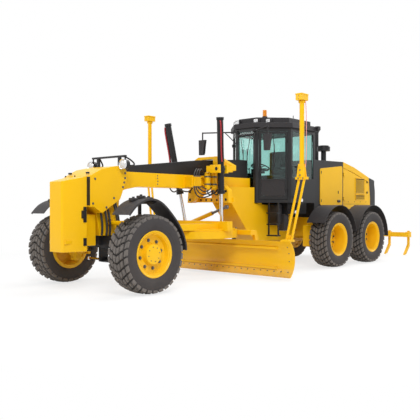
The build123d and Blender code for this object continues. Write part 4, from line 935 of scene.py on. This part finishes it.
bm = bmesh.new()
wheel_axis = Vector((-0.35, 0, 1)).normalized()
wheel_centre = at(4.22, 0, 2.15)
ring_r, ring_t = 0.19, 0.013
ring = [(ring_t * math.sin(2 * math.pi * k / 12), ring_r + ring_t * math.cos(2 * math.pi * k / 12))
        for k in range(13)]
turned(bm, ring, wheel_centre, wheel_axis, sides=40)
clean(bm)
for turn in (0.5, 2.6, 4.7):
    spoke = Matrix.Rotation(turn, 3, wheel_axis) @ wheel_axis.orthogonal().normalized()
    rod(bm, wheel_centre, wheel_centre + spoke * ring_r, 0.009, sides=8)
rod(bm, wheel_centre - wheel_axis * 0.07, wheel_centre + wheel_axis * 0.02, 0.035, sides=20)
hang(bm, "steering_wheel", "chassis", plastic, tidy=False)
print("seat and controls ready")

# %% [markdown]
# Front end: mudguards, head lamps, brackets and bolts
# The front mudguards are bent sheet with a flat shelf ahead and a turned-in rim. A few points along
# the wheel's curve are smoothed by subdividing, then the sheet is pushed sideways and thickened.
# The lamps are turned bowls with a clear lens, on a bent tube from the bar over the beam.

# %% Dress the front end
GUARD_POINTS = [(-0.52, 1.20), (-0.37, 1.363), (-0.12, 1.448), (0.05, 1.42), (0.18, 1.352), (0.33, 1.22),
                (0.46, 1.085), (0.56, 0.95), (0.622, 0.82), (0.652, 0.72), (0.66, 0.63)]
GUARD_IN_Y, GUARD_OUT_Y, GUARD_T, GUARD_LIP = 0.90, 1.285, 0.010, 0.028


def front_guard(side, sign):
    bm = bmesh.new()
    points = [bm.verts.new(at(back, sign * GUARD_IN_Y, z)) for back, z in GUARD_POINTS]
    edges = [bm.edges.new(pair) for pair in zip(points, points[1:])]
    bmesh.ops.subdivide_edges(bm, edges=edges, cuts=3, smooth=0.0)
    inner = [v for v in bm.verts if len(v.link_edges) == 2]
    for _ in range(4):
        bmesh.ops.smooth_vert(bm, verts=inner, factor=0.5, use_axis_x=True, use_axis_z=True)
    far = new_verts(bmesh.ops.extrude_edge_only(bm, edges=list(bm.edges)))
    bmesh.ops.translate(bm, vec=(0, sign * (GUARD_OUT_Y - GUARD_IN_Y), 0), verts=far)
    clean(bm)
    rim = [v for v in bm.verts if abs(abs(v.co.y) - GUARD_OUT_Y) < 1e-4]
    lip = bmesh.ops.extrude_edge_only(bm, edges=[e for e in bm.edges if all(v in rim for v in e.verts)])
    hub = at(0, 0, AXLE_Z)
    for vert in new_verts(lip):
        vert.co += Vector((hub.x - vert.co.x, 0, hub.z - vert.co.z)).normalized() * GUARD_LIP
    bmesh.ops.recalc_face_normals(bm, faces=bm.faces)
    bmesh.ops.solidify(bm, geom=list(bm.faces), thickness=GUARD_T)
    blocks(bm, [(0.11, 0.80, 0.64, 0.0603, 0.835, 1.385, 0.004),
                (0.125, 0.80, 1.352, 0.085, 1.15, 1.385, 0.004)], (sign,))
    for back, z in ((-0.25, 1.412), (-0.10, 1.448), (0.05, 1.425)):
        blocks(bm, [(back - 0.055, 1.01, z - 0.02, back + 0.055, 1.11, z + 0.03, 0.012)], (sign,))
        rods(bm, [(back, 1.06, z + 0.02, back, 1.06, z + 0.048, 0.02, 16)], (sign,))
    hang(bm, f"front_mudguard_{side}", f"knuckle_{side}", plastic, replaces=(f"front_fender_{side}",),
         sharp_degrees=50)


LAMP_BACK, LAMP_Y, LAMP_Z = 0.075, 0.415, 1.985
LAMP_RIM = [(0.0, 0.066), (0.008, 0.07), (0.012, 0.078), (0.006, 0.083), (-0.02, 0.083), (-0.02, 0.074),
            (0.0, 0.066)]
LAMP_LENS = [(0.0, 0.0), (0.009, 0.0), (0.008, 0.03), (0.004, 0.058), (0.001, 0.068), (0.0, 0.068),
             (0.0, 0.0)]
for side, sign in (("left", 1), ("right", -1)):
    front_guard(side, sign)
for name, profile, finish in (("head_lamp_rims", LAMP_RIM, chrome), ("head_lamp_lenses", LAMP_LENS, lens)):
    bm = bmesh.new()
    for sign in BOTH:
        turned(bm, profile, at(LAMP_BACK, sign * LAMP_Y, LAMP_Z), (1, 0, 0), sides=32)
    hang(bm, name, "chassis", finish)
hose("lamp_tubes", "chassis", [path(sign, (0.135, 0.27, 2.12), (0.20, 0.33, 2.13), (0.30, 0.40, 2.05),
                                    (0.36, 0.415, 1.98), (0.24, 0.415, 1.965), (0.175, 0.415, 1.985))
                               for sign in BOTH], 0.013, black)

CHEEK_BOLTS = [(0.195, 1.85), (0.195, 1.77), (0.175, 1.70), (0.150, 1.625), (-0.033, 1.447), (-0.183, 1.300),
               (-0.40, 1.74), (-0.44, 1.36)]
BEAM_BOLTS = [(1.091, 1.849), (1.091, 1.803), (1.097, 1.751), (1.091, 1.70)]
bm = bmesh.new()
bolts(bm, CHEEK_BOLTS, 0.34, 0.014, 0.010)
bolts(bm, BEAM_BOLTS, 0.141, 0.010, 0.008)
bolts(bm, [(0.286, 1.728), (0.33, 1.70)], 0.14, 0.012, 0.009)
hang(bm, "frame_bolts", "chassis", steel)

LINK_BAR_BACK, LINK_BAR_Z, LINK_HOLE_PITCH = 2.655, 1.435, 0.14
# Dark discs are painted shade: they stand for the dark inside of holes, on the front of the link bar, which
# is not drilled, and on the saddle plates.
bm = bmesh.new()
rods(bm, [(LINK_BAR_BACK + 0.002, step * LINK_HOLE_PITCH, LINK_BAR_Z,
           LINK_BAR_BACK - 0.003, step * LINK_HOLE_PITCH, LINK_BAR_Z, 0.022, 20) for step in range(-3, 4)])
rods(bm, [(2.542, y, z, 2.532, y, z, 0.024, 20)
          for y, z in ((0.47, 1.60), (0.47, 1.44), (0.30, 2.17))], BOTH)
hang(bm, "link_bar_hole_shade", "chassis", shadow_gap)

bm = bmesh.new()
blocks(bm, [(-0.56, 0.242, 1.07, -0.508, 0.274, 1.31, 0.005),
            (-0.56, 0.242, 0.71, -0.508, 0.274, 0.83, 0.005),
            (-0.59, 0.232, 1.13, -0.54, 0.28, 1.255, 0.008),
            (-0.505, 0.24, 1.33, -0.499, 0.345, 1.77, 0.002),
            (-0.48, 0.20, 1.82, -0.44, 0.26, 1.85, 0.008)], BOTH)
rods(bm, [(-0.62, 0.12, 1.77, -0.62, 0.12, 1.79, 0.012, 10)], BOTH)
hang(bm, "nose_hinges", "chassis", black)

bm = bmesh.new()
blocks(bm, [(-0.735, 0.212, 0.745, -0.855, 0.190, 0.80, 0.009, 3),
            (1.045, 0.1395, 1.66, 1.62, 0.1435, 1.875, 0.0015)], BOTH)
hang(bm, "nose_pull_and_beam_plates", "chassis", paint)

HOSE_TOPS = ((-0.26, 0.22), (-0.19, 0.25), (-0.12, 0.24), (0.02, 0.25), (0.07, 0.23))
hose("nose_hoses", "chassis", [path(sign, (back, y, 1.42), (back + 0.03, y + 0.02, 1.25),
                                    (back + 0.08, y + 0.05, 1.05), (back + 0.06, y + 0.02, 0.86))
                               for sign in BOTH for back, y in HOSE_TOPS], 0.018, hose_rubber)
print("front end dressed")

# %% [markdown]
# Hydraulics: accumulators, valve hoses and the sleeves of the lift cylinders
# Two upright accumulators stand on the left of the beam near the lift arms, and dark hoses loop
# from the valves below them. The lift cylinders carry one black and one red hose up their sides.
# Each hose is a curve through a few points, held at both ends, that rides with what it is tied to.

# %% Add the hydraulics
ACCUMULATOR_BACKS = (2.22, 2.40)
ACCUMULATOR_Y = 0.29
BOTTLE = [(-0.17, 0.0), (-0.17, 0.03), (-0.155, 0.048), (-0.13, 0.056), (0.12, 0.056), (0.145, 0.05),
          (0.16, 0.034), (0.165, 0.014), (0.178, 0.014), (0.178, 0.0)]
STRAP = [(-0.013, 0.0555), (-0.013, 0.0595), (0.013, 0.0595), (0.013, 0.0555), (-0.013, 0.0555)]
bottles, straps, fittings = bmesh.new(), bmesh.new(), bmesh.new()
for back in ACCUMULATOR_BACKS:
    turned(bottles, BOTTLE, at(back, ACCUMULATOR_Y, 1.79), (0, 0, 1), sides=28)
    blocks(bottles, [(back - 0.03, 0.138, z, back + 0.03, 0.24, z + 0.03, 0.004) for z in (1.71, 1.85)])
    for z in (1.725, 1.865):
        turned(straps, STRAP, at(back, ACCUMULATOR_Y, z), (0, 0, 1), sides=28)
        blocks(straps, [(back - 0.012, 0.345, z - 0.013, back + 0.012, 0.363, z + 0.013, 0.003)])
    rods(fittings, [(back, ACCUMULATOR_Y, 1.63, back, ACCUMULATOR_Y, 1.585, 0.016, 10)])
for step in range(6):
    back = 1.79 + 0.032 * step
    rods(fittings, [(back, 0.352, 1.84, back, 0.352, 1.875, 0.009, 10),
                    (back, 0.352, 1.69, back, 0.352, 1.655, 0.009, 10)])
hang(bottles, "beam_accumulators", "chassis", paint)
hang(straps, "accumulator_straps", "chassis", steel)
hang(fittings, "hose_fittings", "chassis", steel)

valve_routes = []
for step in range(4):
    back, reach, sag = 1.79 + 0.053 * step, 2.66 - 0.07 * step, 1.49 + 0.055 * step
    valve_routes.append(path(1, (back, 0.352, 1.66), (back + 0.04, 0.35, sag + 0.04),
                             (back + 0.2, 0.30, sag - 0.03), (back + 0.5 - 0.06 * step, 0.28, sag),
                             (reach - 0.03, 0.26, sag + 0.16), (reach, 0.20, 1.80)))
for step in range(3):
    back = 1.79 + 0.064 * step
    valve_routes.append(path(1, (back, 0.352, 1.87), (back + 0.01, 0.355, 1.93 + 0.02 * step),
                             (back + 0.12, 0.30, 2.0), (back + 0.26, 0.18, 2.02), (back + 0.36, 0.14, 1.95)))
for sign in BOTH:
    valve_routes.append(path(sign, (1.98, 0.142, 1.70), (1.90, 0.20, 1.60), (1.80, 0.18, 1.56),
                             (1.66, 0.12, 1.61), (1.60, 0.08, 1.66)))
for back in ACCUMULATOR_BACKS:
    valve_routes.append(path(1, (back, ACCUMULATOR_Y, 1.59), (back + 0.01, 0.30, 1.53),
                             (back + 0.10, 0.30, 1.51), (back + 0.20, 0.26, 1.60),
                             (back + 0.22, 0.20, 1.72)))
hose("valve_hoses", "chassis", valve_routes, 0.012, hose_rubber)

# Distances along a lift barrel and out from its middle line.
LIFT_HOSE = ((0.06, 0.06), (0.10, 0.085), (0.40, 0.078), (0.75, 0.082), (0.80, 0.10))
for side, sign in (("left", 1), ("right", -1)):
    top, eye = at(2.130, sign * 0.680, 2.930), at(2.410, sign * 0.475, 0.990)
    line = (eye - top).normalized()
    out = Vector((0.25, sign, 0)).normalized()
    out = (out - line * out.dot(line)).normalized()
    aside = sign * line.cross(out) * 0.035 - out * 0.006
    route = [top + line * along + out * away for along, away in LIFT_HOSE]
    hose(f"lift_hose_{side}", f"lift_barrel_{side}", [route], 0.013, hose_rubber)
    beside = [place + aside for place in route]
    hose(f"lift_sleeve_{side}", f"lift_barrel_{side}", [beside], 0.014, red_sleeve)
print("hydraulics ready")

# %% [markdown]
# Engine hood: side panels, seam, grilles and latches
# The hood of the real machine is black at the front with a large yellow side panel, then a bolted
# seam and a yellow door at the rear with two louvred grilles. Panels are flat outlines whose
# corners are rounded by a vertex bevel before they are drawn out into sheets.

# %% Dress the hood sides
SIDE_PANEL = [(5.80, 1.335), (6.795, 1.335), (6.795, 2.275), (5.80, 2.175)]
GRILLES = [(7.44, 7.92, 1.625, 2.015), (7.44, 7.92, 1.465, 1.598)]
SEAM_BOLTS = [(6.825, z) for z in (1.45, 1.56, 1.67, 1.78, 1.89, 2.0, 2.11, 2.2)]
FRAME_W, SLAT_PITCH = 0.016, 0.026
for side, sign in (("left", 1), ("right", -1)):
    one_side = (sign,)
    bm = bmesh.new()
    far = plate(bm, [at(back, sign * (HOOD_Y - 0.004), z) for back, z in SIDE_PANEL], (0, sign * 0.018, 0),
                0.05, 5)
    bevel(bm, [edge for edge in sharp_edges(bm, 0.5) if all(vert in far for vert in edge.verts)], 0.003)
    hang(bm, f"hood_side_panel_{side}", "rear_chassis", paint)

    bm = bmesh.new()
    bolts(bm, SEAM_BOLTS, HOOD_Y, 0.009, 0.008, one_side)
    blocks(bm, [(6.55, HOOD_Y, 1.405, 6.68, HOOD_Y + 0.034, 1.462, 0.012, 3),
                (6.585, HOOD_Y, 1.61, 6.61, HOOD_Y + 0.024, 1.68, 0.006),
                (5.83, HOOD_Y, 2.06, 5.85, HOOD_Y + 0.022, 2.12, 0.004),
                (5.83, HOOD_Y, 1.41, 5.85, HOOD_Y + 0.022, 1.47, 0.004)], one_side)
    hang(bm, f"hood_latches_{side}", "rear_chassis", black)

    # Behind each grille a dark sheet is painted shade: the dark inside that would show through the openings
    # between the slats.
    frames, shade_sheets = bmesh.new(), bmesh.new()
    for front, rear, low, high in GRILLES:
        blocks(shade_sheets, [(front + 0.01, HOOD_Y - 0.002, low + 0.01,
                       rear - 0.01, HOOD_Y + 0.003, high - 0.01, 0.0)], one_side)
        blocks(frames, [(front, HOOD_Y, z, rear, HOOD_Y + 0.014, z + FRAME_W, 0.003)
                        for z in (low, high - FRAME_W)], one_side)
        blocks(frames, [(back, HOOD_Y, low, back + FRAME_W, HOOD_Y + 0.014, high, 0.003)
                        for back in (front, rear - FRAME_W)], one_side)
        for step in range(int((high - low - 0.03) / SLAT_PITCH)):
            z = low + 0.024 + SLAT_PITCH * step
            slat = block(frames, at(front + 0.01, sign * (HOOD_Y + 0.002), z),
                         at(rear - 0.01, sign * (HOOD_Y + 0.012), z + 0.012), 0.0)
            tilted = [v for v in slat if v.is_valid and v.co.z > z + 0.006]
            bmesh.ops.translate(frames, vec=(0, -sign * 0.004, 0), verts=tilted)
    blocks(frames, [(6.87, HOOD_Y, z, 6.93, HOOD_Y + 0.018, z + 0.06, 0.006)
                    for z in (1.44, 2.02)], one_side)
    hang(frames, f"engine_door_grilles_{side}", f"engine_door_{side}", paint)
    # The dark sheet behind the slats is painted shade.
    hang(shade_sheets, f"engine_door_painted_shade_{side}", f"engine_door_{side}", shadow_gap)
    bm = bmesh.new()
    blocks(bm, [(8.03, HOOD_Y, z, 8.07, HOOD_Y + 0.02, z + 0.05, 0.006) for z in (1.635, 1.90)], one_side)
    bolts(bm, [(back, 1.42) for back in (7.1, 7.4, 7.7, 8.0)], HOOD_Y, 0.008, 0.007, one_side)
    hang(bm, f"engine_door_latches_{side}", f"engine_door_{side}", black)

bm = bmesh.new()
blocks(bm, [(8.618, -0.36, z, 8.632, 0.36, z + 0.035, 0.004) for z in (1.40, 1.50, 1.60, 1.70, 1.80, 1.90)])
blocks(bm, [(8.618, 0.37, 1.36, 8.64, 0.41, 1.98, 0.006), (8.60, 0.30, 1.12, 8.66, 0.44, 1.24, 0.012)], BOTH)
blocks(bm, [(7.5, y - 0.02, 2.27, 7.52, y + 0.02, 2.30, 0.004) for y in (-0.3, 0.0, 0.3)])
hang(bm, "rear_grille_bars", "rear_chassis", black)
bm = bmesh.new()
rods(bm, [(8.655, 0.37, 1.18, 8.672, 0.37, 1.18, 0.045, 24)], BOTH)
hang(bm, "rear_lamps", "rear_chassis", red_lens)
print("hood dressed")

# %% [markdown]
# Blade, masts and ripper: edges, bolts, gussets and cables
# A moldboard carries a replaceable cutting edge in two lengths with an end bit at each side, held
# by a row of bolts. Each strip is a small face spun about the moldboard's own arc. The survey
# masts get gusset plates at the sleeve, a lidded head and a thin pinkish cable beside the post.

# %% Dress the blade and the masts
ARC_CENTRE_BACK, ARC_CENTRE_Z, ARC_FRONT_R = 2.409, 0.37, 0.413
EDGE_LOW, EDGE_HIGH = math.asin(-0.315 / ARC_FRONT_R), math.asin(-0.185 / ARC_FRONT_R)
EDGE_THICK = 0.014


def on_arc(angle, radius, y):
    return at(ARC_CENTRE_BACK + radius * math.cos(angle), y, ARC_CENTRE_Z + radius * math.sin(angle))


def arc_strip(bm, y0, y1, low, high, thick):
    """A curved strip on the front of the moldboard, made as bridged sections."""
    steps, loops = 5, []
    for step in range(steps + 1):
        angle = low + (high - low) * step / steps
        ring = [bm.verts.new(on_arc(angle, radius, y))
                for radius, y in ((ARC_FRONT_R + 0.004, y0), (ARC_FRONT_R + 0.004, y1),
                                  (ARC_FRONT_R - thick, y1), (ARC_FRONT_R - thick, y0))]
        loops.append([bm.edges.new((ring[k], ring[(k + 1) % 4])) for k in range(4)])
    for first, second in zip(loops, loops[1:]):
        bmesh.ops.bridge_loops(bm, edges=first + second)
    for loop in (loops[0], loops[-1]):
        bmesh.ops.contextual_create(bm, geom=loop)


edge_parts = bmesh.new()
for y0, y1 in ((-1.826, -1.60), (-1.595, -0.003), (0.003, 1.595), (1.60, 1.826)):
    arc_strip(edge_parts, y0, y1, EDGE_LOW, EDGE_HIGH, EDGE_THICK)
hang(edge_parts, "cutting_edges", "blade", blade_steel)

BOLT_ANGLE, BOLT_COUNT, BOLT_END_Y = math.asin(-0.235 / ARC_FRONT_R), 24, 1.75
bm = bmesh.new()
inward = Vector((math.cos(BOLT_ANGLE), 0, -math.sin(BOLT_ANGLE)))
for step in range(BOLT_COUNT):
    y = BOLT_END_Y * (2 * step / (BOLT_COUNT - 1) - 1)
    place = on_arc(BOLT_ANGLE, ARC_FRONT_R - EDGE_THICK, y)
    rod(bm, place - inward * 0.003, place + inward * 0.004, 0.013, sides=12)
for sign in BOTH:
    for angle in (-0.1, 0.25, 0.55):
        place = on_arc(angle, ARC_FRONT_R, sign * 1.72)
        rod(bm, place, place + Vector((math.cos(angle), 0, -math.sin(angle))) * 0.005, 0.011, sides=12)
hang(bm, "blade_bolts", "blade", steel)

MAST_BACK, MAST_Y = 2.83, 1.975
GUSSET = ((-0.085, 1.83), (0.085, 1.83), (0.05, 2.06), (-0.05, 2.06))
bm, dark = bmesh.new(), bmesh.new()
for sign in BOTH:
    for offset in (-0.03, 0.03):
        plate(bm, [at(MAST_BACK + offset, sign * MAST_Y + dy, z) for dy, z in GUSSET], (0.012, 0, 0))
    for dy in (-0.049, 0.049):
        bolt_head(dark, at(MAST_BACK - 0.046, sign * MAST_Y + dy, 1.808), (1, 0, 0), 0.010, 0.008)
    for z in (1.86, 1.95):
        bolt_head(dark, at(MAST_BACK - 0.061, sign * MAST_Y, z), (1, 0, 0), 0.011, 0.010)
    for y in (1.64, 1.80):
        bolt_head(dark, at(2.72, sign * y, 0.712), (0, 0, 1), 0.012, 0.010)
blocks(bm, [(MAST_BACK - 0.108, MAST_Y - 0.072, 3.262, MAST_BACK + 0.108, MAST_Y + 0.072, 3.288, 0.008),
            (MAST_BACK - 0.05, MAST_Y - 0.05, 3.12, MAST_BACK + 0.05, MAST_Y + 0.05, 3.172, 0.02),
            (2.70, 1.60, 0.685, 2.84, 1.826, 0.712, 0.006),
            (2.73, 1.70, 0.71, 2.79, 1.79, 0.80, 0.012)], BOTH)
rods(dark, [(MAST_BACK - 0.109, MAST_Y, z, MAST_BACK - 0.1, MAST_Y, z, 0.006, 8)
            for z in (3.19, 3.24)], BOTH)
hang(bm, "mast_gussets", "blade", paint)
hang(dark, "mast_bolts", "blade", steel)
CABLE = ((0.03, 0.0, 3.17), (0.045, 0.006, 3.0), (0.04, 0.012, 2.7), (0.05, 0.008, 2.4), (0.045, 0.004, 2.1),
         (0.03, 0.0, 2.0))
cable_points = [(MAST_BACK + back, MAST_Y + 0.055 + y, z) for back, y, z in CABLE]
hose("mast_cables", "blade", [path(sign, *cable_points) for sign in BOTH], 0.007, cable_sheath)

bm = bmesh.new()
for sign in BOTH:
    for back in (2.42, 2.56):
        bolt_head(bm, at(back, sign * 0.70, 0.905), (0, 0, 1), 0.018, 0.014)
hang(bm, "drawbar_bolts", "drawbar", steel)
print("blade and masts dressed")

# %% [markdown]
# Finish
# A last loop names any carried-over node that still shows, so that none is left with a plain colour.

# %% Finish
for node, obj in frame["nodes"].items():
    if not obj.hide_render:
        print("carried-over node", node, [m.name for m in obj.data.materials])
